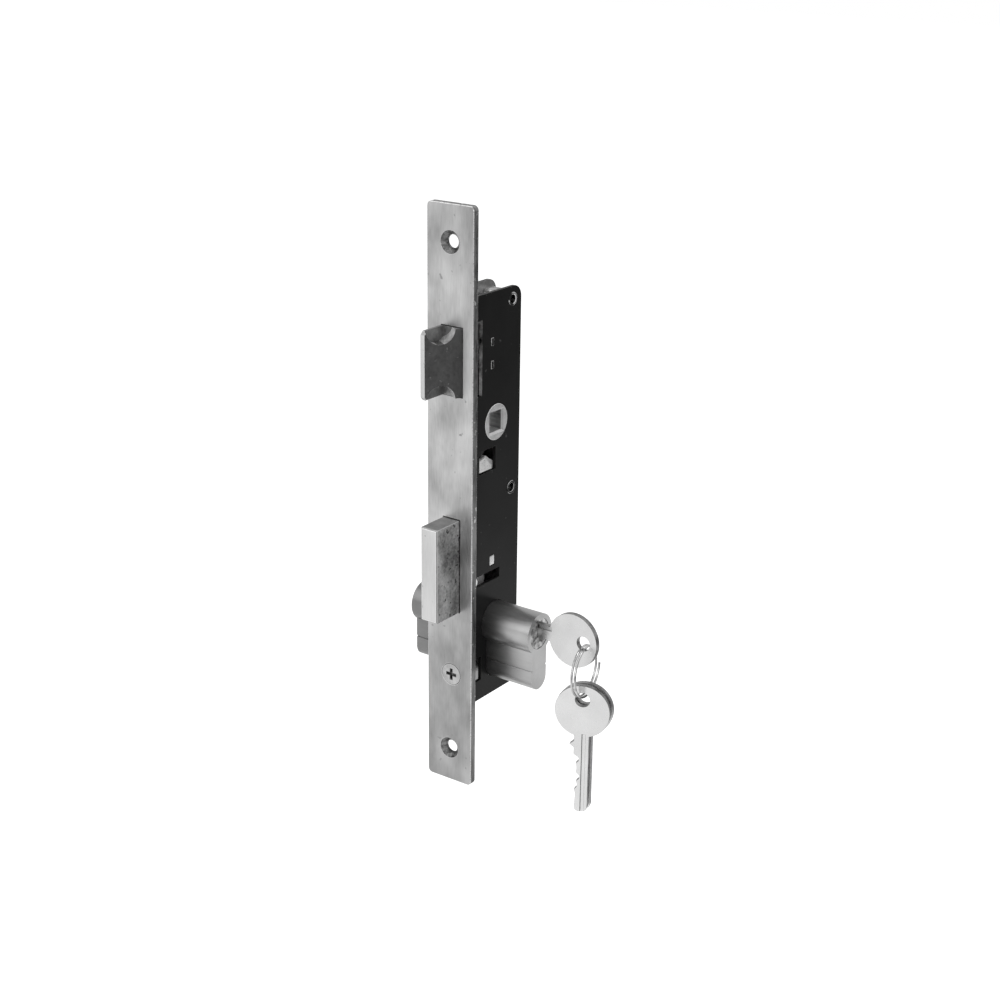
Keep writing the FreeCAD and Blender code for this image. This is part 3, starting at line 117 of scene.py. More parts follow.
@dataclass(frozen=True)
class Nodes:
    """Adds shader nodes to one tree and wires them up."""

    tree: bpy.types.NodeTree

    def feed(self, value: Socket | Colour | float, socket: Socket) -> None:
        """Link a socket to another one, or set it to a constant.

        Args:
            value: The other socket, or the constant.
            socket: Socket to feed.
        """
        if isinstance(value, Socket):
            self.tree.links.new(value, socket)
        else:
            socket.default_value = value

    def place(self) -> Socket:
        """Give the piece's own coordinates."""
        return self.tree.nodes.new("ShaderNodeTexCoord").outputs["Object"]

    def along(self, place: Socket, axis: str) -> Socket:
        """Give a place's coordinate on one axis.

        Args:
            place: The place.
            axis: X, Y or Z.

        Returns:
            The coordinate.
        """
        apart = self.tree.nodes.new("ShaderNodeSeparateXYZ")
        self.feed(place, apart.inputs[0])
        return apart.outputs[axis]

    def math(self, operation: str, first: Socket, second: Socket | float = 0.0) -> Socket:
        """Do one step of arithmetic.

        Args:
            operation: Name of the operation.
            first: First value.
            second: Second value, which some operations don't use.

        Returns:
            The result.
        """
        node = self.tree.nodes.new("ShaderNodeMath")
        node.operation = operation
        self.feed(first, node.inputs[0])
        self.feed(second, node.inputs[1])
        return node.outputs[0]

    def mix(self, share: Socket, first: Socket | Colour, second: Socket | Colour) -> Socket:
        """Mix two colours.

        Args:
            share: Share of the second colour.
            first: First colour.
            second: Second colour.

        Returns:
            The mixed colour.
        """
        mix = self.tree.nodes.new("ShaderNodeMix")
        mix.data_type = "RGBA"
        for index, value in zip(MIX_INPUTS, (share, first, second)):
            self.feed(value, mix.inputs[index])
        return mix.outputs[MIX_RESULT]

    def ramp(self, value: Socket, source: Span, target: Span, smooth: bool = False) -> Socket:
        """Map a value from one span to another, clamped at both ends.

        Args:
            value: Value to map.
            source: Span that the value comes from.
            target: Span that the result goes to.
            smooth: Whether the ramp starts and ends gently.

        Returns:
            The mapped value.
        """
        ramp = self.tree.nodes.new("ShaderNodeMapRange")
        ramp.interpolation_type = "SMOOTHSTEP" if smooth else "LINEAR"
        for name, number in zip(("From Min", "From Max", "To Min", "To Max"), source + target):
            ramp.inputs[name].default_value = number
        self.feed(value, ramp.inputs["Value"])
        return ramp.outputs["Result"]

    def noise(self, place: Socket, scale: float, detail: float, stretch: Triple = EVEN) -> Socket:
        """Add a noise texture.

        Args:
            place: Coordinates that the noise lies on.
            scale: Scale of the noise, per metre.
            detail: Levels of detail.
            stretch: Stretch of the noise along X, Y and Z.

        Returns:
            The noise's value.
        """
        stretched = self.tree.nodes.new("ShaderNodeMapping")
        stretched.inputs["Scale"].default_value = stretch
        self.feed(place, stretched.inputs["Vector"])
        noise = self.tree.nodes.new("ShaderNodeTexNoise")
        noise.inputs["Scale"].default_value = scale
        noise.inputs["Detail"].default_value = detail
        self.feed(stretched.outputs["Vector"], noise.inputs["Vector"])
        return noise.outputs["Fac"]


@dataclass(frozen=True)
class Finish:
    """A procedural finish whose pattern lies on Object coordinates, in metres.

    Attributes:
        name: Name of the material.
        dark: Display level of the darker parts of the mottling.
        light: Display level of the lighter parts.
        metallic: Metallic value.
        specular: Specular level.
        roughness: Mean roughness.
        rough_spread: How far it wanders from the mean.
        mottle_scale: Scale of the broad mottling.
        mottle_streak: Its stretch along X, Y and Z; small numbers make it long.
        streak: Stretch of the fine grain, likewise.
        grain_scale: Scale of the fine grain.
        grain_share: How much of the mottling is fine grain.
        bump: Strength of the grain's bump.
        bump_depth: Depth of the bump in metres.
        warmth: Warmth of the colour.
        pit: Display level inside small pits and specks.
        pit_scale: Scale of the pits; 0 leaves them out.
        pit_share: Share of the surface that they take; below 0 only the deepest stay.
        rim: Display level painted on the bevelled edges: a painted highlight where it is bright,
            painted shade where it is dark.
        rim_share: How far the edges turn to that level.
        rim_gaps: Share of the edges that the painted edge light leaves alone.
        fade: Brightness far from the fading's middle, as a share, as painted shade; 1 leaves the
            fading out.
        fade_axis: Axis that the fading runs along.
        fade_middle: Place of its middle on that axis, in metres.
        fade_span: Distances from it at which the fading starts and ends.
    """

    name: str
    dark: float
    light: float
    metallic: float = 1.0
    specular: float = 0.5
    roughness: float = 0.35
    rough_spread: float = 0.06
    mottle_scale: float = 60.0
    mottle_streak: Triple = EVEN
    streak: Triple = EVEN
    grain_scale: float = 900.0
    grain_share: float = 0.35
    bump: float = 0.15
    bump_depth: float = 0.00004
    warmth: float = 0.0
    pit: float = 0.3
    pit_scale: float = 0.0
    pit_share: float = 0.08
    rim: float = 0.9
    rim_share: float = 0.0
    rim_gaps: float = 0.0
    fade: float = 1.0
    fade_axis: str = "Z"
    fade_middle: float = 0.0
    fade_span: Span = (0.03, 0.1)

    def material(self) -> bpy.types.Material:
        """Build the material once, and return it on later calls.

        Returns:
            The material of this finish.
        """
        known = bpy.data.materials.get(self.name)
        if known is not None:
            return known
        material = bpy.data.materials.new(self.name)
        material.use_nodes = True
        nodes = Nodes(material.node_tree)
        inputs = material.node_tree.nodes["Principled BSDF"].inputs
        inputs["Metallic"].default_value = self.metallic
        inputs["Specular IOR Level"].default_value = self.specular
        place = nodes.place()
        broad = nodes.noise(place, self.mottle_scale, BROAD_DETAIL, self.mottle_streak)
        grain = nodes.noise(place, self.grain_scale, GRAIN_DETAIL, self.streak)
        colour = self._mottled(nodes, broad, grain)
        # Painted shade: the colour darkens away from the fading's middle.
        if self.fade < 1.0:
            colour = self._paint_shade(nodes, place, colour)
        if self.pit_scale > 0.0:
            colour = self._pitted(nodes, place, colour)
        # Painted highlights and painted shade on the bevelled edges, at the rim's level; a bright
        # rim also loses most of its metallic value, so that it shows bright.
        if self.rim_share > 0.0:
            rim_light = self._painted_edge_light(nodes, place)
            colour = nodes.mix(rim_light, colour, grey(self.rim, self.warmth))
            if self.rim > HIGHLIGHT_RIM:
                left = (self.metallic, self.metallic * HIGHLIGHT_METAL)
                nodes.feed(nodes.ramp(rim_light, (0.0, 1.0), left), inputs["Metallic"])
        nodes.feed(colour, inputs["Base Color"])
        around = (self.roughness - self.rough_spread, self.roughness + self.rough_spread)
        nodes.feed(nodes.ramp(grain, GRAIN_SPAN, around), inputs["Roughness"])
        nodes.feed(self._bumped(nodes, grain), inputs["Normal"])
        return material

    def _mottled(self, nodes: Nodes, broad: Socket, grain: Socket) -> Socket:
        """Give the mottled colour.

        Args:
            nodes: Nodes of the material.
            broad: Noise of the broad mottling.
            grain: Noise of the fine grain.

        Returns:
            The colour.
        """
        blend = nodes.tree.nodes.new("ShaderNodeMix")
        blend.inputs["Factor"].default_value = self.grain_share
        nodes.feed(broad, blend.inputs["A"])
        nodes.feed(grain, blend.inputs["B"])
        share = nodes.ramp(blend.outputs["Result"], MOTTLE_SPAN, (0.0, 1.0))
        return nodes.mix(share, grey(self.dark, self.warmth), grey(self.light, self.warmth))

    def _paint_shade(self, nodes: Nodes, place: Socket, colour: Socket) -> Socket:
        """Darken a colour away from one place on an axis, as painted shade.

        Args:
            nodes: Nodes of the material.
            place: Coordinates that the fading lies on.
            colour: Colour at the fading's middle.

        Returns:
            The faded colour.
        """
        offset = nodes.math("SUBTRACT", nodes.along(place, self.fade_axis), self.fade_middle)
        scaled = nodes.tree.nodes.new("ShaderNodeVectorMath")
        scaled.operation = "SCALE"
        nodes.feed(colour, scaled.inputs[0])
        share = nodes.ramp(nodes.math("ABSOLUTE", offset), self.fade_span, (1.0, self.fade))
        nodes.feed(share, scaled.inputs["Scale"])
        return scaled.outputs[0]

    def _pitted(self, nodes: Nodes, place: Socket, colour: Socket) -> Socket:
        """Lay small pits or specks over a colour.

        Args:
            nodes: Nodes of the material.
            place: Coordinates that the pits lie on.
            colour: Colour between the pits.

        Returns:
            The pitted colour.
        """
        noise = nodes.noise(place, self.pit_scale, SPOT_DETAIL)
        edge = PIT_EDGE + PIT_GAIN * self.pit_share
        share = nodes.ramp(noise, (edge - PIT_SOFTNESS, edge), (1.0, 0.0))
        return nodes.mix(share, colour, grey(self.pit, self.warmth))

    def _painted_edge_light(self, nodes: Nodes, place: Socket) -> Socket:
        """Give the share of painted edge light, highlight and shade, on the bevelled edges, which
        carry the face attribute rim.

        Args:
            nodes: Nodes of the material.
            place: Coordinates that the wear lies on.

        Returns:
            The share of the rim's level.
        """
        mark = nodes.tree.nodes.new("ShaderNodeAttribute")
        mark.attribute_name = "rim"
        noise = nodes.noise(place, RIM_PATCH_SCALE, SPOT_DETAIL)
        edge = RIM_PATCH_EDGE + RIM_PATCH_GAIN * self.rim_gaps
        span = (edge + RIM_PATCH_SOFTNESS[0], edge + RIM_PATCH_SOFTNESS[1])
        rim_light = nodes.ramp(noise, span, (0.0, self.rim_share))
        return nodes.math("MULTIPLY", mark.outputs["Fac"], rim_light)

    def _bumped(self, nodes: Nodes, grain: Socket) -> Socket:
        """Give the normal that the grain's bump leads to.

        Args:
            nodes: Nodes of the material.
            grain: Noise of the fine grain.

        Returns:
            The normal.
        """
        bump = nodes.tree.nodes.new("ShaderNodeBump")
        bump.inputs["Strength"].default_value = self.bump
        bump.inputs["Distance"].default_value = self.bump_depth
        nodes.feed(grain, bump.inputs["Height"])
        return bump.outputs["Normal"]


# Painted shade: the plate darkens towards its top and bottom, away from a height of 35 mm.
PLATE_FRONT = Finish(
    "satin_plate", 0.66, 0.86, roughness=0.40, mottle_scale=70, mottle_streak=(1.0, 1.0, 0.55),
    streak=(1.0, 1.0, 0.12), grain_scale=1500, grain_share=0.22, bump=0.22, pit=0.62, pit_scale=300,
    pit_share=-0.07, rim=0.93, rim_share=0.7, fade=0.74, fade_middle=0.035, fade_span=(0.03, 0.12),
)
PLATE_EDGE = Finish(
    "sheared_edge", 0.34, 0.66, roughness=0.42, mottle_scale=500, mottle_streak=(1.0, 0.7, 0.12),
    streak=(1.0, 1.0, 0.2), grain_scale=1400, bump=0.5, pit=0.9, pit_scale=420, pit_share=-0.03,
    rim=0.96, rim_share=0.9, rim_gaps=0.22,
)
# Painted highlight: a lighter, less metallic copy of the plate steel on the rounding of its front.
PLATE_ROUND = Finish(
    "rounding_painted_highlight", 0.82, 0.98, metallic=0.45, roughness=0.3, mottle_scale=300,
    mottle_streak=(1.0, 1.0, 0.2), grain_scale=1200, grain_share=0.3, bump=0.1,
)
# Painted shade: the countersinks are darker than the plate around them.
SINK_WALL = Finish(
    "countersink", 0.12, 0.66, roughness=0.38, mottle_scale=270, grain_scale=1300, bump=0.4,
    rim=0.30, rim_share=0.8, rim_gaps=0.2,
)
SCREW_HEAD = Finish(
    "screw_head", 0.68, 0.82, roughness=0.38, mottle_scale=240, grain_scale=1500, bump=0.1,
    rim=0.25, rim_share=0.85,
)
# Painted shade: the screw's cross recess is darker than its head.
RECESS = Finish("screw_recess", 0.26, 0.56, roughness=0.5, mottle_scale=900, grain_scale=1500)
CASE_PAINT = Finish(
    "black_paint", 0.095, 0.13, metallic=0.0, specular=0.11, roughness=0.33, rough_spread=0.05,
    mottle_scale=50, grain_scale=1800, bump=0.1, pit=0.28, pit_scale=430, pit_share=-0.15, rim=0.34,
    rim_share=0.6, rim_gaps=0.45,
)
# Painted light and shade: dark and bright patches on the cover's cut behind the latch.
CUT_EDGE = Finish(
    "cut_painted_light", 0.03, 0.95, metallic=0.3, roughness=0.45, mottle_scale=95, grain_share=0.25,
    bump=0.3,
)
CASE_INSIDE = Finish(
    "zinc_sheet", 0.60, 0.74, roughness=0.38, mottle_scale=90, grain_scale=1100, bump=0.2,
)
RIVET_END = Finish(
    "painted_rivet", 0.07, 0.12, metallic=0.0, specular=0.25, roughness=0.4, mottle_scale=120,
    grain_scale=1500, rim=0.97, rim_share=1.0, rim_gaps=0.38,
)
POST_STEEL = Finish(
    "turned_steel", 0.26, 0.96, roughness=0.24, mottle_scale=300, mottle_streak=(0.2, 1.0, 1.0),
    streak=(0.15, 1.0, 1.0), grain_scale=1200, bump=0.12,
)
BOLT_FRONT = Finish(
    "ground_bolt", 0.80, 0.90, roughness=0.36, mottle_scale=70, mottle_streak=(1.0, 1.0, 0.3),
    streak=(1.0, 1.0, 0.15), grain_scale=1500, grain_share=0.25, bump=0.12, pit=0.7, pit_scale=330,
    pit_share=-0.09, rim=0.97, rim_share=0.8,
)
BOLT_SIDE = Finish(
    "cast_bolt", 0.50, 0.66, roughness=0.46, rough_spread=0.1, mottle_scale=190, grain_share=0.45,
    bump=0.5, bump_depth=0.00006, rim=0.88, rim_share=0.6, rim_gaps=0.3,
)
BOLT_FLANK = Finish(
    "worn_flank", 0.44, 0.98, roughness=0.38, rough_spread=0.1, mottle_scale=75,
    mottle_streak=(1.0, 1.0, 0.7), grain_share=0.3, bump=0.5, bump_depth=0.00006, pit=0.36,
    pit_scale=520, pit_share=-0.02, rim_share=0.8, rim_gaps=0.2,
)
# Painted light: a bright, mostly diffuse copy of the bolt metal on the tail's side, which lies in
# shade behind the cover.
BOLT_TAIL = Finish(
    "tail_painted_light", 0.74, 0.95, metallic=0.25, roughness=0.5, mottle_scale=160, grain_share=0.3,
    bump=0.3,
)
LATCH_SLANT = Finish(
    "cast_slant", 0.43, 0.50, roughness=0.5, rough_spread=0.1, mottle_scale=120, bump=0.4,
    bump_depth=0.00006, pit=0.62, pit_scale=480, pit_share=-0.08, rim=0.97, rim_share=1.0,
    rim_gaps=0.1,
)
SCALLOP = Finish(
    "cast_hollow", 0.66, 0.98, metallic=0.3, roughness=0.42, mottle_scale=150, grain_scale=800,
    grain_share=0.25, bump=0.3, rim=0.95, rim_share=0.9,
)
# Polished zinc; on the floor of the hub's square hole it is a painted highlight of the light from
# above.
POLISH_AND_HIGHLIGHT = Finish(
    "polished_zinc_and_highlight", 0.86, 0.99, metallic=0.6, roughness=0.24, rough_spread=0.03, mottle_scale=200,
    grain_share=0.2, bump=0.02, rim=0.99, rim_share=1.0,
)
LEVER_NOSE = Finish(
    "worn_nose", 0.88, 0.99, metallic=0.15, roughness=0.3, mottle_scale=260, grain_share=0.2,
    bump=0.01, rim=0.98, rim_share=0.8,
)
HOLE_WALL = Finish(
    "broached_wall", 0.42, 0.68, metallic=0.75, roughness=0.36, mottle_scale=230,
    streak=(0.12, 1.0, 1.0), grain_scale=1200, grain_share=0.4,
)
# Painted shade: the hub's body inside the case is painted dark.
HUB_SHADE_STEEL = Finish(
    "hub_steel_painted_shade", 0.16, 0.30, roughness=0.42, mottle_scale=150, bump=0.2, rim=0.5, rim_share=0.4,
    rim_gaps=0.4,
)
BRIGHT_ZINC = Finish(
    "bright_zinc", 0.80, 0.95, metallic=0.6, roughness=0.28, mottle_scale=180, grain_share=0.25,
    bump=0.05, rim=0.97, rim_share=0.5,
)
# Painted shade and dark reflection: the barrel darkens from its near end towards the case and over
# its far half.
CYLINDER_NICKEL = Finish(
    "satin_nickel", 0.68, 0.79, metallic=0.88, roughness=0.34, rough_spread=0.03, mottle_scale=45,
    streak=(0.1, 1.0, 1.0), grain_share=0.2, bump=0.002, rim=0.97, rim_share=0.85, fade=0.45,
    fade_axis="X", fade_middle=0.0295, fade_span=(0.009, 0.020),
)
PLUG_FACE = Finish(
    "scored_plug", 0.30, 0.82, roughness=0.3, mottle_scale=420, grain_share=0.2, bump=0.05,
    rim=0.14, rim_share=0.9, rim_gaps=0.1,
)
KEY_NICKEL = Finish(
    "key_nickel", 0.93, 0.97, roughness=0.3, rough_spread=0.04, mottle_scale=90, grain_share=0.2,
    bump=0.03, rim=0.26, rim_share=0.9, rim_gaps=0.2,
)
# Painted shade: a darker copy of the key nickel for the first key.
FIRST_KEY = replace(KEY_NICKEL, name="first_key_nickel", dark=0.83, light=0.88)
# Painted shade and dark reflection on the keys' edges, between their flat sides.
KEY_EDGE = Finish(
    "key_edge_painted_shade", 0.16, 0.74, roughness=0.34, mottle_scale=95, grain_scale=1300, grain_share=0.2,
    bump=0.3, rim=0.3, rim_share=0.7, rim_gaps=0.2,
)
WIRE = Finish("bright_wire", 0.68, 0.95, roughness=0.22, mottle_scale=230, bump=0.05)
BRASS_PIN = Finish("pin_brass", 0.62, 0.74, roughness=0.3, warmth=0.12, bump=0.1)


@dataclass(frozen=True)
class Accent:
    """A second finish of one piece, and the test on normal and middle that picks its faces."""

    finish: Finish
    picks: Callable[[Vector, Vector], bool]


def add_object(name: str, mesh: bpy.types.Mesh) -> bpy.types.Object:
    """Put a mesh in the scene under its own object.

    Args:
        name: Name of the object.
        mesh: Finished mesh, already at its place.

    Returns:
        The new object.
    """
    piece = bpy.data.objects.new(name, mesh)
    bpy.context.scene.collection.objects.link(piece)
    return piece


def settle(piece: bpy.types.Object, body: Body, node: str) -> None:
    """Let a piece ride on its body and stand for its node.

    Args:
        piece: The piece.
        body: Body that it moves with.
        node: Name of the node that it stands for.
    """
    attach(piece, body.value)
    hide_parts(node)
    LOG.info("%s rides on %s, %d faces", piece.name, body.value, len(piece.data.polygons))


@dataclass
class SoftenedNode:
    """A CAD node's own shape with merged faces and fine bevelled edges.

    Attributes:
        node: Name of the CAD node.
        body: Body that it rides on.
        slot: Material slot of the record; not used.
        finish: Main finish.
        width: Width of the bevel in metres.
        accents: Other finishes, each with its test; a later one goes over an earlier one.
        wide: Width of the rounding at the edges that the test picks.
        wide_picks: Test on an edge's middle.
        sharp: Angle in degrees from which an edge is bevelled.
        crease: Angle in degrees from which the shading breaks.
        flat: Angle in degrees up to which faces are merged.
        merge: Distance up to which corners are merged.
        segments: Segments of the bevel.
        wide_segments: Segments of the wide rounding.
    """

    node: str
    body: Body
    slot: str
    finish: Finish
    width: float
    accents: tuple[Accent, ...] = ()
    wide: float = 0.0
    wide_picks: Callable[[Vector], bool] = lambda middle: False
    sharp: float = 32.0
    crease: float = 40.0
    flat: float = 0.5
    merge: float = 0.002 * MM
    segments: int = 2
    wide_segments: int = 4

    def _soften(self, model: bmesh.types.BMesh) -> None:
        """Round the picked edges widely and the other sharp ones finely, and mark the new faces.

        Args:
            model: Mesh to work on.
        """
        rim = model.faces.layers.float.new("rim")
        for width, segments, picked in (
            (self.wide, self.wide_segments, True), (self.width, self.segments, False),
        ):
            edges = [
                edge for edge in model.edges
                if len(edge.link_faces) == 2
                and edge.calc_face_angle(0.0) > math.radians(self.sharp)
                and self.wide_picks((edge.verts[0].co + edge.verts[1].co) / 2) == picked
            ]
            if not edges:
                continue
            rounded = bmesh.ops.bevel(
                model, geom=edges, offset=width, offset_type="OFFSET", segments=segments,
                profile=0.5, affect="EDGES", clamp_overlap=True, material=-1,
            )
            for polygon in rounded["faces"]:
                polygon[rim] = 1.0

    def _paint(self, model: bmesh.types.BMesh) -> None:
        """Give each face its material's index, and smooth shading.

        Args:
            model: Mesh to work on.
        """
        for polygon in model.faces:
            polygon.smooth = True
            polygon.material_index = 0
            centre = polygon.calc_center_median()
            for index, accent in enumerate(self.accents, start=1):
                if accent.picks(polygon.normal, centre):
                    polygon.material_index = index

    def build(self) -> bpy.types.Object:
        """Make the softened copy, which stands for the node.

        Returns:
            The dressed piece.
        """
        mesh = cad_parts[self.node].data.copy()
        mesh.materials.clear()
        model = bmesh.new()
        model.from_mesh(mesh)
        bmesh.ops.remove_doubles(model, verts=model.verts, dist=self.merge)
        bmesh.ops.dissolve_limit(
            model, angle_limit=math.radians(self.flat), verts=model.verts, edges=model.edges,
            use_dissolve_boundaries=False,
        )
        self._soften(model)
        self._paint(model)
        model.to_mesh(mesh)
        model.free()
        mesh.name = f"{self.node}_skin"
        for finish in (self.finish, *(accent.finish for accent in self.accents)):
            mesh.materials.append(finish.material())
        mesh.set_sharp_from_angle(angle=math.radians(self.crease))
        piece = add_object(f"{self.node}_finished", mesh)
        piece.modifiers.new("weighted", "WEIGHTED_NORMAL").keep_sharp = True
        settle(piece, self.body, self.node)
        return piece


@dataclass
class WoundWire:
    """Round wire wound into a helix by one spin with a climb.

    Attributes:
        node: CAD node that it stands for.
        body: Body that it rides on.
        slot: Material slot of the record; not used.
        finish: Finish of the wire.
        radius: Radius of the wire's centre line.
        wire: Diameter of the wire.
        pitch: Climb of each turn.
        turns: Number of turns.
        place: Matrix that brings the helix about Z to its place.
        steps: Steps of each turn.
        sides: Sides of the wire.
        end_bevel: Width of the bevel at its ends, as a share of the diameter.
        crease: Angle in degrees from which the shading breaks.
    """

    node: str
    body: Body
    slot: str
    finish: Finish
    radius: float
    wire: float
    pitch: float
    turns: float
    place: Matrix
    steps: int
    sides: int
    end_bevel: float = 0.12
    crease: float = 50.0

    def _wind(self, model: bmesh.types.BMesh) -> None:
        """Spin the wire's section round the axis and bevel its ends.

        Args:
            model: Empty mesh to work on.
        """
        lean = math.atan2(self.pitch, 2 * math.pi * self.radius)
        bmesh.ops.create_circle(
            model, cap_ends=True, radius=self.wire / 2, segments=self.sides,
            matrix=Matrix.Translation((self.radius, 0, 0))
            @ Matrix.Rotation(lean, 4, "X") @ Matrix.Rotation(math.pi / 2, 4, "X"),
        )
        bmesh.ops.spin(
            model, geom=model.faces[:], cent=(0, 0, 0), axis=(0, 0, 1),
            dvec=(0, 0, self.pitch / self.steps), angle=self.turns * 2 * math.pi,
            steps=round(self.turns * self.steps), use_merge=False, use_duplicate=False,
        )
        caps = [face for face in model.faces if len(face.verts) == self.sides]
        rims = [edge for face in caps for edge in face.edges]
        bmesh.ops.bevel(
            model, geom=rims, offset=self.wire * self.end_bevel, segments=2, profile=0.5,
            affect="EDGES", clamp_overlap=True, material=-1,
        )

    def build(self) -> bpy.types.Object:
        """Wind the wire and bring it to its place.

        Returns:
            The wound piece.
        """
        model = bmesh.new()
        self._wind(model)
        bmesh.ops.transform(model, matrix=self.place, verts=model.verts)
        bmesh.ops.recalc_face_normals(model, faces=model.faces)
        for face in model.faces:
            face.smooth = True
        mesh = bpy.data.meshes.new(f"{self.node}_skin")
        model.to_mesh(mesh)
        model.free()
        mesh.materials.append(self.finish.material())
        mesh.set_sharp_from_angle(angle=math.radians(self.crease))
        piece = add_object(f"{self.node}_wound", mesh)
        settle(piece, self.body, self.node)
        return piece


@dataclass
class Housing:
    """Faceplate, case, posts, studs and the cylinder screw.

    Attributes:
        inner_left: Place along X of the far side plate's inner face.
        inner_right: Place along X of the cover's inner face.
        plane_slack: Slack of the tests on those places.
        web_back: Place along Y behind which a face that looks back is the web's outer one.
        half_width: Half of the faceplate's width, up to the start of its rounding with the painted
            highlight.
        half_height: Half of its height, likewise.
        side_lean: Least and most Y of the normals on its sheared sides.
        round_lean: The same for its rounding with the painted highlight.
        wall_lean: Most Y of the normals in its fixing holes, either way.
        fixing_height: Height of the upper fixing hole; the lower one is as far down.
        sink_radius: Radius that takes in a countersink.
        screw_spot: X and Z of the cylinder screw's axis.
        recess_radius: Radius that takes in its cross recess.
        recess_span: Places along Y between which the recess's faces lie.
        shank_start: Place along Y behind which the screw's shank shows.
        cut_height: Height of the middle of the cover's cut behind the latch.
        cut_reach: How far from it the middle of one of the cut's faces may lie.
    """

    inner_left: float = -4.4 * MM
    inner_right: float = 6.2 * MM
    plane_slack: float = 0.2 * MM
    web_back: float = 35.5 * MM
    half_width: float = 10.58 * MM
    half_height: float = 119.58 * MM
    side_lean: Span = (-0.3, 0.7)
    round_lean: Span = (-0.95, -0.2)
    wall_lean: float = 0.93
    fixing_height: float = 105.5 * MM
    sink_radius: float = 5.4 * MM
    screw_spot: Span = (0.9 * MM, -71.8 * MM)
    recess_radius: float = 2.45 * MM
    recess_span: Span = (0.12 * MM, 2.0 * MM)
    shank_start: float = 4.0 * MM
    cut_height: float = 59.7 * MM
    cut_reach: float = 5.0 * MM

    def _inside_far(self, normal: Vector, centre: Vector) -> bool:
        """Tell whether a face of the case body looks into the case."""
        level = centre.x > self.inner_left - self.plane_slack
        return level and not (normal.y > TOWARD and centre.y > self.web_back)

    def _latch_cut(self, normal: Vector, centre: Vector) -> bool:
        """Tell whether a face is the upright cut of the cover behind the latch."""
        return normal.y < -STRAIGHT and abs(centre.z - self.cut_height) < self.cut_reach

    def _at_rim(self, centre: Vector) -> bool:
        """Tell whether a place lies at the faceplate's outline."""
        return abs(centre.x) > self.half_width or abs(centre.z) > self.half_height

    def _is_side(self, normal: Vector, centre: Vector) -> bool:
        """Tell whether a face of the faceplate belongs to its sheared sides."""
        return self._at_rim(centre) and self.side_lean[0] < normal.y < self.side_lean[1]

    def _is_round(self, normal: Vector, centre: Vector) -> bool:
        """Tell whether a face of the faceplate lies in the rounding of its front, which carries a
        painted highlight.
        """
        return self._at_rim(centre) and self.round_lean[0] < normal.y < self.round_lean[1]

    def _is_sink(self, normal: Vector, centre: Vector) -> bool:
        """Tell whether a face of the faceplate lies in a fixing hole or its countersink."""
        aside = math.hypot(centre.x, abs(centre.z) - self.fixing_height)
        return aside < self.sink_radius and abs(normal.y) < self.wall_lean

    def _at_cover(self, normal: Vector, centre: Vector) -> bool:
        """Tell whether a face lies in the cover, where the paint went over it."""
        return centre.x > self.inner_right - self.plane_slack or centre.x < self.inner_left

    def _in_recess(self, normal: Vector, centre: Vector) -> bool:
        """Tell whether a face lies in the screw's cross recess."""
        aside = math.hypot(centre.x - self.screw_spot[0], centre.z - self.screw_spot[1])
        return aside < self.recess_radius and self.recess_span[0] < centre.y < self.recess_span[1]

    def build(self) -> None:
        """Dress every piece of the housing."""
        painted = Accent(RIVET_END, self._at_cover)
        inside = Accent(CASE_INSIDE, lambda normal, centre: normal.x < -TOWARD)
        shank = Accent(BOLT_SIDE, lambda normal, centre: centre.y > self.shank_start)
        for node, slot, finish, width, accents in (
            ("faceplate", "brushed_plate", PLATE_FRONT, 0.24,
             (Accent(PLATE_EDGE, self._is_side), Accent(PLATE_ROUND, self._is_round),
              Accent(SINK_WALL, self._is_sink))),
            ("case_body", "black_case", CASE_PAINT, 0.15, (Accent(CASE_INSIDE, self._inside_far),)),
            ("case_cover", "black_case", CASE_PAINT, 0.15,
             (inside, Accent(CUT_EDGE, self._latch_cut))),
            ("spacer_posts", "zinc_steel", POST_STEEL, 0.3, (painted,)),
            ("lever_pivot", "zinc_steel", POST_STEEL, 0.3, (painted,)),
            ("latch_spring_plate", "zinc_steel", BRIGHT_ZINC, 0.12, (painted,)),
            ("faceplate_studs", "zinc_steel", BRIGHT_ZINC, 0.12, ()),
            ("cylinder_screw", "zinc_steel", SCREW_HEAD, 0.26,
             (Accent(RECESS, self._in_recess), shank)),
        ):
            SoftenedNode(node, Body.CASE, slot, finish, width * MM, accents).build()


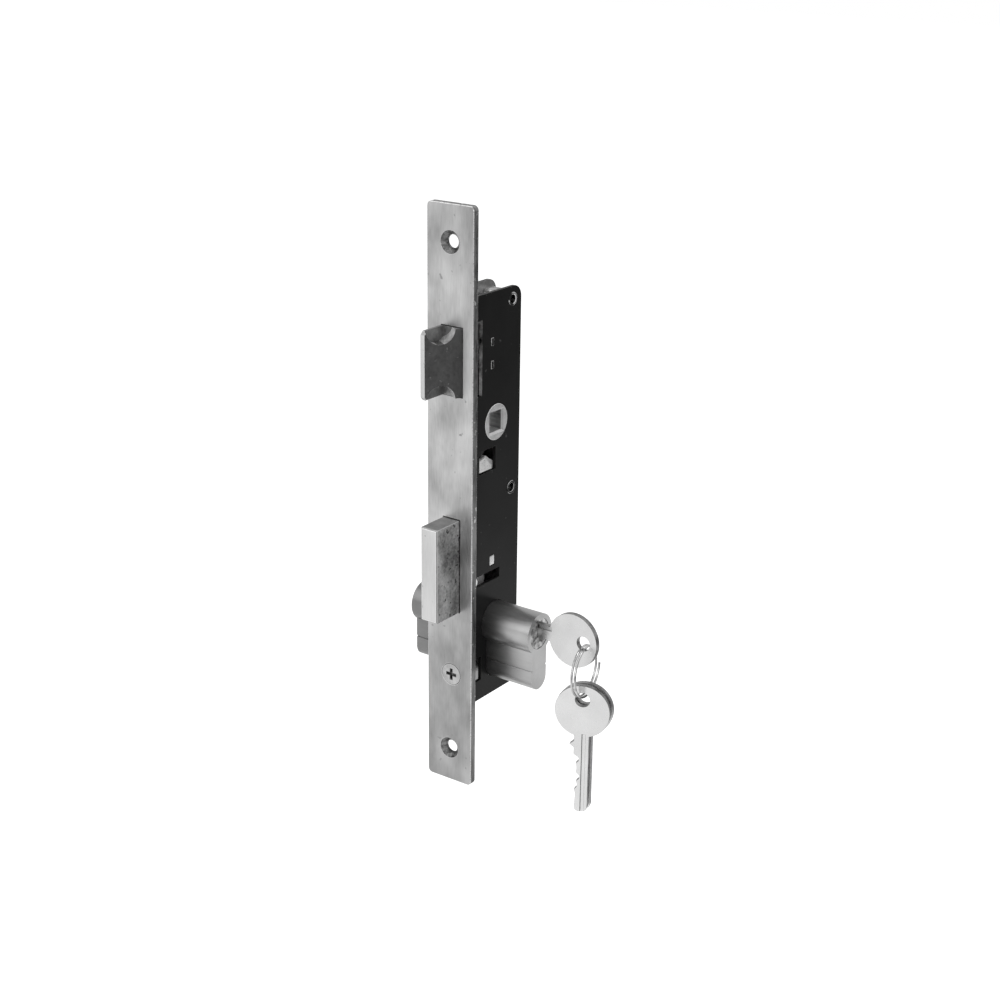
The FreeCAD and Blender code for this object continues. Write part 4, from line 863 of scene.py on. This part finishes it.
@dataclass
class Mechanism:
    """Latch, hub, lever, deadbolt and their springs.

    Attributes:
        spring_outer: Outer diameter of the latch spring.
        spring_wire: Diameter of its wire.
        spring_turns: Number of its turns.
        spring_room: Room between its centre line and each end, in diameters of the wire.
        spring_front: Place along Y where it starts, inside the latch.
        spring_back: Place along Y where it ends, at its plate.
        spring_x: X of its axis.
        spring_z: Height of its axis.
        travel: How far the latch goes in; not used.
        hub_spot: Y and Z of the hub's axis.
        hub_wall: Radius that takes in the square hole.
        hub_middle: X of the hub's middle.
        hub_half: Distance from it past which the hub's collars lie.
        hub_rounding: Width of the rounding at their outer edges.
        collar_rise: How much further those edges lie.
        ring_reach: Distance from the axis past which an edge is on a collar's circle.
        ring_lean: Least X of the normals on a collar, either way.
        floor_lean: Least Z of the normals on the square hole's floor.
        wall_lean: Most X of the normals on its walls, either way.
        latch_face: Place along Y in front of which the latch's narrow front lies.
        latch_back: Place along Y up to which its hollows go.
        latch_middle: Height of its middle.
        slant_lean: Least X and most Y of the normals on its slanted face.
        hollow_lean: Least and most Z of the normals in its hollows.
        hollow_reach: Heights from the middle between which the hollows' edges lie.
        hollow_rounding: Width of the rounding at those edges.
        tail_side: Place along X up to which the side of the deadbolt's tail lies.
    """

    spring_outer: float = 4.6 * MM
    spring_wire: float = 0.7 * MM
    spring_turns: float = 8.0
    spring_room: float = 0.55
    spring_front: float = -4.5 * MM
    spring_back: float = 16.4 * MM
    spring_x: float = -0.4 * MM
    spring_z: float = 60.3 * MM
    travel: float = 12.5 * MM
    hub_spot: Span = (20.0 * MM, 32.0 * MM)
    hub_wall: float = 6.6 * MM
    hub_middle: float = 0.9 * MM
    hub_half: float = 5.2 * MM
    hub_rounding: float = 0.45 * MM
    collar_rise: float = 0.6 * MM
    ring_reach: float = 7.15 * MM
    ring_lean: float = 0.05
    floor_lean: float = 0.7
    wall_lean: float = 0.15
    latch_face: float = -12.5 * MM
    latch_back: float = -1.0 * MM
    latch_middle: float = 59.7 * MM
    slant_lean: Span = (0.7, -0.3)
    hollow_lean: Span = (0.06, 0.97)
    hollow_reach: Span = (3.2 * MM, 13.2 * MM)
    hollow_rounding: float = 0.5 * MM
    tail_side: float = 3.5 * MM

    @staticmethod
    def _faces_front(normal: Vector, centre: Vector) -> bool:
        """Tell whether a face looks straight out of the faceplate."""
        return normal.y < -STRAIGHT

    @staticmethod
    def _faces_side(normal: Vector, centre: Vector) -> bool:
        """Tell whether a face looks to the cover's or the case's side."""
        return abs(normal.x) > STRAIGHT

    def _behind_cover(self, normal: Vector, centre: Vector) -> bool:
        """Tell whether a face is the side of the deadbolt's thin tail."""
        return normal.x > STRAIGHT and centre.x < self.tail_side

    def _slanted(self, normal: Vector, centre: Vector) -> bool:
        """Tell whether a latch face is the slanted one."""
        return normal.x > self.slant_lean[0] and normal.y < self.slant_lean[1]

    def _hollowed(self, normal: Vector, centre: Vector) -> bool:
        """Tell whether a latch face belongs to the hollows in the slanted face."""
        low, high = self.hollow_lean
        return low < abs(normal.z) < high and centre.y < self.latch_back

    def _hollow_edge(self, middle: Vector) -> bool:
        """Tell whether an edge of the latch runs round one of the hollows."""
        low, high = self.hollow_reach
        return middle.y < self.latch_back and low < abs(middle.z - self.latch_middle) < high

    def _latch_front(self, normal: Vector, centre: Vector) -> bool:
        """Tell whether a face is the latch's narrow front."""
        return normal.y < -STRAIGHT and centre.y < self.latch_face

    def _off_axis(self, place: Vector) -> float:
        """Give a place's distance from the hub's axis."""
        return math.hypot(place.y - self.hub_spot[0], place.z - self.hub_spot[1])

    def _on_collar(self, normal: Vector, centre: Vector) -> bool:
        """Tell whether a face of the hub shows in one of the case's openings."""
        return abs(centre.x - self.hub_middle) > self.hub_half and abs(normal.x) > self.ring_lean

    def _collar_or_lit_floor(self, normal: Vector, centre: Vector) -> bool:
        """Tell whether a face of the hub is on a polished collar, or is the square hole's floor,
        which gets a painted highlight of the light from above.
        """
        floor = normal.z > self.floor_lean and self._off_axis(centre) < self.hub_wall
        return floor or self._on_collar(normal, centre)

    def _hub_hole(self, normal: Vector, centre: Vector) -> bool:
        """Tell whether a face of the hub is another wall of the square hole."""
        wall = abs(normal.x) < self.wall_lean and normal.z < self.floor_lean
        return wall and self._off_axis(centre) < self.hub_wall

    def _collar_edge(self, middle: Vector) -> bool:
        """Tell whether an edge is the outer circle of a collar of the hub."""
        outer = abs(middle.x - self.hub_middle) > self.hub_half + self.collar_rise
        return outer and self._off_axis(middle) > self.ring_reach

    def build(self) -> None:
        """Dress every piece of the mechanism."""
        deadbolt = (
            Accent(BOLT_FLANK, self._faces_side), Accent(BOLT_TAIL, self._behind_cover),
            Accent(BOLT_FRONT, self._faces_front),
        )
        latch = (
            Accent(LATCH_SLANT, self._slanted), Accent(SCALLOP, self._hollowed),
            Accent(BOLT_FRONT, self._latch_front),
        )
        hub = (Accent(POLISH_AND_HIGHLIGHT, self._collar_or_lit_floor), Accent(HOLE_WALL, self._hub_hole))
        for node, body, slot, finish, width, accents in (
            ("deadbolt", Body.DEADBOLT, "bolt_metal", BOLT_SIDE, 0.22, deadbolt),
            ("deadbolt_pin", Body.DEADBOLT, "zinc_steel", POLISH_AND_HIGHLIGHT, 0.25, ()),
            ("latch_lever", Body.LEVER, "zinc_steel", LEVER_NOSE, 0.25, ()),
            ("detent_spring", Body.CASE, "spring_steel", BRIGHT_ZINC, 0.08, ()),
        ):
            SoftenedNode(node, body, slot, finish, width * MM, accents).build()
        SoftenedNode(
            "latch_bolt", Body.LATCH, "bolt_metal", BOLT_SIDE, 0.22 * MM, latch,
            self.hollow_rounding, self._hollow_edge,
        ).build()
        # The hub's body gets painted shade; its collars stay polished, and the square hole's floor
        # gets a painted highlight.
        SoftenedNode(
            "follower_hub", Body.HUB, "zinc_steel", HUB_SHADE_STEEL, 0.15 * MM, hub,
            self.hub_rounding, self._collar_edge,
        ).build()
        self._spring()

    def _spring(self) -> None:
        """Wind the latch spring."""
        length = self.spring_back - self.spring_front
        margin = self.spring_wire * self.spring_room
        place = Matrix.Translation((self.spring_x, self.spring_front + margin, self.spring_z))
        spring = WoundWire(
            "latch_spring", Body.CASE, "spring_steel", WIRE,
            (self.spring_outer - self.spring_wire) / 2, self.spring_wire,
            (length - 2 * margin) / self.spring_turns, self.spring_turns,
            place @ Matrix.Rotation(-math.pi / 2, 4, "X"), steps=32, sides=12,
        ).build()
        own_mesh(spring)


@dataclass
class Cylinder:
    """Profile cylinder with its plugs, cam, clips and pins; widths are in millimetres."""

    body_edge: float = 0.42

    def build(self) -> None:
        """Dress every piece of the cylinder."""
        for node, body, slot, finish, width in (
            ("cylinder_body", Body.CASE, "nickel_brass", CYLINDER_NICKEL, self.body_edge),
            ("plug_near", Body.PLUG, "nickel_brass", PLUG_FACE, 0.2),
            ("plug_far", Body.CASE, "nickel_brass", PLUG_FACE, 0.2),
            ("cylinder_cam", Body.PLUG, "zinc_steel", BRIGHT_ZINC, 0.25),
            ("clip_near", Body.PLUG, "spring_steel", WIRE, 0.08),
            ("clip_far", Body.CASE, "spring_steel", WIRE, 0.08),
            ("key_pins_near", Body.PLUG, "pin_brass", BRASS_PIN, 0.15),
            ("key_pins_far", Body.CASE, "pin_brass", BRASS_PIN, 0.15),
            ("driver_pins", Body.CASE, "pin_brass", BRASS_PIN, 0.15),
            ("pin_springs", Body.CASE, "spring_steel", WIRE, 0.05),
        ):
            SoftenedNode(node, body, slot, finish, width * MM).build()


@dataclass
class KeySet:
    """Three keys and the split ring that joins them.

    Angles are in degrees. The ring lies in the hole of the first key's bow, with its middle line
    a little below the middle of the hole, and the other two keys hang from it.
    """

    edge: float = 0.18 * MM
    hanging_turn: float = 20.0
    ring_radius: float = 10.4 * MM
    ring_wire: float = 1.0 * MM
    ring_pitch: float = 1.45 * MM
    ring_turns: float = 2.0
    ring_turned: float = -7.0
    hole: Triple = (52.0 * MM, 20.0 * MM, -51.2 * MM)
    ring_hang: float = 1.75 * MM

    @staticmethod
    def _outline(turned: float) -> Accent:
        """Give the accent on the faces round a key, between its two flat sides.

        Args:
            turned: Angle in degrees by which the key is turned about Z.

        Returns:
            The accent.
        """
        turn = math.radians(turned)
        across = Vector((math.sin(turn), -math.cos(turn), 0.0))
        return Accent(KEY_EDGE, lambda normal, centre: abs(normal.dot(across)) < TOWARD)

    def _ring(self) -> None:
        """Wind the split ring through the first key's hole."""
        turn = Matrix.Rotation(math.radians(-self.ring_turned), 4, "Z")
        axis = turn @ Vector((1, 0, 0))
        along = turn @ Vector((0, 1, 0))
        basis = Matrix((along, Vector((0, 0, 1)), axis)).transposed().to_4x4()
        centre = Vector(self.hole) - Vector((0, 0, self.ring_hang + self.ring_radius))
        centre += axis * (self.ring_pitch / 4 - self.ring_pitch * self.ring_turns / 2)
        WoundWire(
            "key_ring", Body.RING, "spring_steel", WIRE, self.ring_radius, self.ring_wire,
            self.ring_pitch, self.ring_turns, Matrix.Translation(centre) @ basis,
            steps=96, sides=20,
        ).build()

    def build(self) -> None:
        """Dress the keys and wind the ring."""
        for node, body, finish, turned in (
            ("key_1", Body.PLUG, FIRST_KEY, 0.0),
            ("key_2", Body.SECOND_KEY, KEY_NICKEL, self.hanging_turn),
            ("key_3", Body.THIRD_KEY, KEY_NICKEL, self.hanging_turn),
        ):
            accents = (self._outline(turned),)
            SoftenedNode(node, body, "nickel_key", finish, self.edge, accents).build()
        self._ring()


@dataclass(frozen=True)
class Softbox:
    """A square area lamp aimed at the lock, in metres and watts."""

    name: str
    spot: Triple
    size: float
    power: float

    def build(self, aim: Vector) -> None:
        """Put the lamp in the scene.

        Args:
            aim: Point that it looks at.
        """
        lamp = bpy.data.lights.new(self.name, "AREA")
        lamp.size = self.size
        lamp.energy = self.power
        stand = bpy.data.objects.new(self.name, lamp)
        stand.location = self.spot
        direction = aim - Vector(self.spot)
        stand.rotation_euler = direction.to_track_quat("-Z", "Y").to_euler()
        bpy.context.scene.collection.objects.link(stand)


@dataclass
class Studio:
    """White floor and surroundings, softboxes and the camera at the photograph's angle.

    Lengths are in metres and angles in degrees, the focal length and the frame in the photograph's
    pixels and the sensor in millimetres. What is named shine shows in shiny metal only.
    """

    floor_height: float = -0.30
    floor_side: float = 12.0
    floor_white: float = 0.95
    floor_roughness: float = 0.9
    floor_glow: float = 0.72
    shine: Span = (1.0, 0.12)
    shine_span: Span = (0.0, 0.75)
    patch_spot: Triple = (0.35, 0.50, -0.30)
    patch_radius: float = 0.24
    patch_shine: float = 0.95
    ambient: float = 0.42
    shine_above: float = 0.62
    azimuth: float = 35.4646
    elevation: float = 19.838
    roll: float = 0.6814
    spot: Triple = (0.392168, -0.516479, 0.237389)
    focal: float = 1756.03
    frame_pixels: float = 1000.0
    sensor: float = 36.0
    near_clip: float = 0.01
    aim: Triple = (0.01, 0.0, -0.01)
    lamps: tuple[Softbox, ...] = (
        Softbox("key_softbox", (-0.75, -1.05, 0.85), 1.5, 6.5),
        Softbox("front_softbox", (0.55, -1.25, 0.35), 0.9, 3.0),
        Softbox("top_softbox", (0.1, 0.35, 1.3), 0.9, 4.0),
    )

    def build(self) -> None:
        """Build the floor, the world, the lamps and the camera."""
        self._floor()
        self._world()
        for lamp in self.lamps:
            lamp.build(Vector(self.aim))
        self._camera()
        bpy.context.scene.view_settings.view_transform = "Standard"

    def _floor_shine(self, nodes: Nodes) -> Socket:
        """Give the floor's brightness in shiny metal: paler on the left, with one bright patch.

        Args:
            nodes: Nodes of the floor's material.

        Returns:
            The brightness.
        """
        place = nodes.place()
        fall = nodes.ramp(nodes.along(place, "X"), self.shine_span, self.shine)
        reach = nodes.tree.nodes.new("ShaderNodeVectorMath")
        reach.operation = "DISTANCE"
        reach.inputs[1].default_value = self.patch_spot
        nodes.feed(place, reach.inputs[0])
        near = (0.0, self.patch_radius)
        patch = nodes.ramp(reach.outputs["Value"], near, (self.patch_shine, 0.0), smooth=True)
        return nodes.math("ADD", fall, patch)

    def _floor_material(self) -> bpy.types.Material:
        """Make the floor's white, which is only a glow in shiny metal.

        Returns:
            The material.
        """
        material = bpy.data.materials.new("floor_white")
        material.use_nodes = True
        nodes = Nodes(material.node_tree)
        shader = nodes.tree.nodes["Principled BSDF"]
        shader.inputs["Base Color"].default_value = grey(self.floor_white)
        shader.inputs["Roughness"].default_value = self.floor_roughness
        shader.inputs["Specular IOR Level"].default_value = 0.0
        path = nodes.tree.nodes.new("ShaderNodeLightPath").outputs
        plain_glow = nodes.math("MULTIPLY", path["Is Camera Ray"], self.floor_glow)
        shine = nodes.math("MULTIPLY", path["Is Glossy Ray"], self._floor_shine(nodes))
        glow = nodes.tree.nodes.new("ShaderNodeEmission")
        nodes.feed(nodes.math("ADD", plain_glow, shine), glow.inputs["Strength"])
        lit = nodes.tree.nodes.new("ShaderNodeAddShader")
        nodes.feed(shader.outputs["BSDF"], lit.inputs[0])
        nodes.feed(glow.outputs["Emission"], lit.inputs[1])
        surface = nodes.tree.nodes.new("ShaderNodeMixShader")
        nodes.feed(path["Is Glossy Ray"], surface.inputs[0])
        nodes.feed(lit.outputs[0], surface.inputs[1])
        nodes.feed(glow.outputs["Emission"], surface.inputs[2])
        nodes.feed(surface.outputs[0], nodes.tree.nodes["Material Output"].inputs["Surface"])
        return material

    def _floor(self) -> None:
        """Lay a plain white floor that keeps the lock's shadow."""
        model = bmesh.new()
        bmesh.ops.create_grid(
            model, x_segments=1, y_segments=1, size=self.floor_side / 2,
            matrix=Matrix.Translation((0, 0, self.floor_height)),
        )
        mesh = bpy.data.meshes.new("floor_sheet")
        model.to_mesh(mesh)
        model.free()
        mesh.materials.append(self._floor_material())
        add_object("floor", mesh)

    def _world(self) -> None:
        """Give a surround that is white for the camera, dimmer in metal and still more as light."""
        world = bpy.data.worlds.new("white_surround")
        world.use_nodes = True
        bpy.context.scene.world = world
        nodes = Nodes(world.node_tree)
        back = nodes.tree.nodes["Background"]
        back.inputs["Color"].default_value = grey(1.0)
        path = nodes.tree.nodes.new("ShaderNodeLightPath").outputs
        seen = nodes.math("MULTIPLY", path["Is Camera Ray"], 1.0 - self.ambient)
        shiny = nodes.math("MULTIPLY", path["Is Glossy Ray"], self.shine_above - self.ambient)
        both = nodes.math("ADD", seen, shiny)
        nodes.feed(nodes.math("ADD", both, self.ambient), back.inputs["Strength"])

    def _camera(self) -> None:
        """Stand the camera where the photograph was taken from."""
        turn = math.radians(self.azimuth)
        rise = math.radians(self.elevation)
        ahead = Vector((
            -math.sin(turn) * math.cos(rise), math.cos(turn) * math.cos(rise), -math.sin(rise),
        ))
        right = Vector((math.cos(turn), math.sin(turn), 0))
        level = Matrix((right, right.cross(ahead), -ahead)).transposed().to_4x4()
        rolled = level @ Matrix.Rotation(math.radians(self.roll), 4, "Z")
        lens = bpy.data.cameras.new("photo_camera")
        lens.sensor_width = self.sensor
        lens.sensor_fit = "HORIZONTAL"
        lens.lens = self.focal / self.frame_pixels * self.sensor
        lens.clip_start = self.near_clip
        camera = bpy.data.objects.new("photo_camera", lens)
        camera.matrix_world = Matrix.Translation(self.spot) @ rolled
        bpy.context.scene.collection.objects.link(camera)
        bpy.context.scene.camera = camera


def main() -> None:
    """Build the sub-assemblies in order, then the studio."""
    logging.basicConfig(level=logging.INFO, format="%(message)s")
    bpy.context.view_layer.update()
    for assembly in (Housing(), Mechanism(), Cylinder(), KeySet()):
        assembly.build()
    Studio().build()


if __name__ == "__main__":
    main()
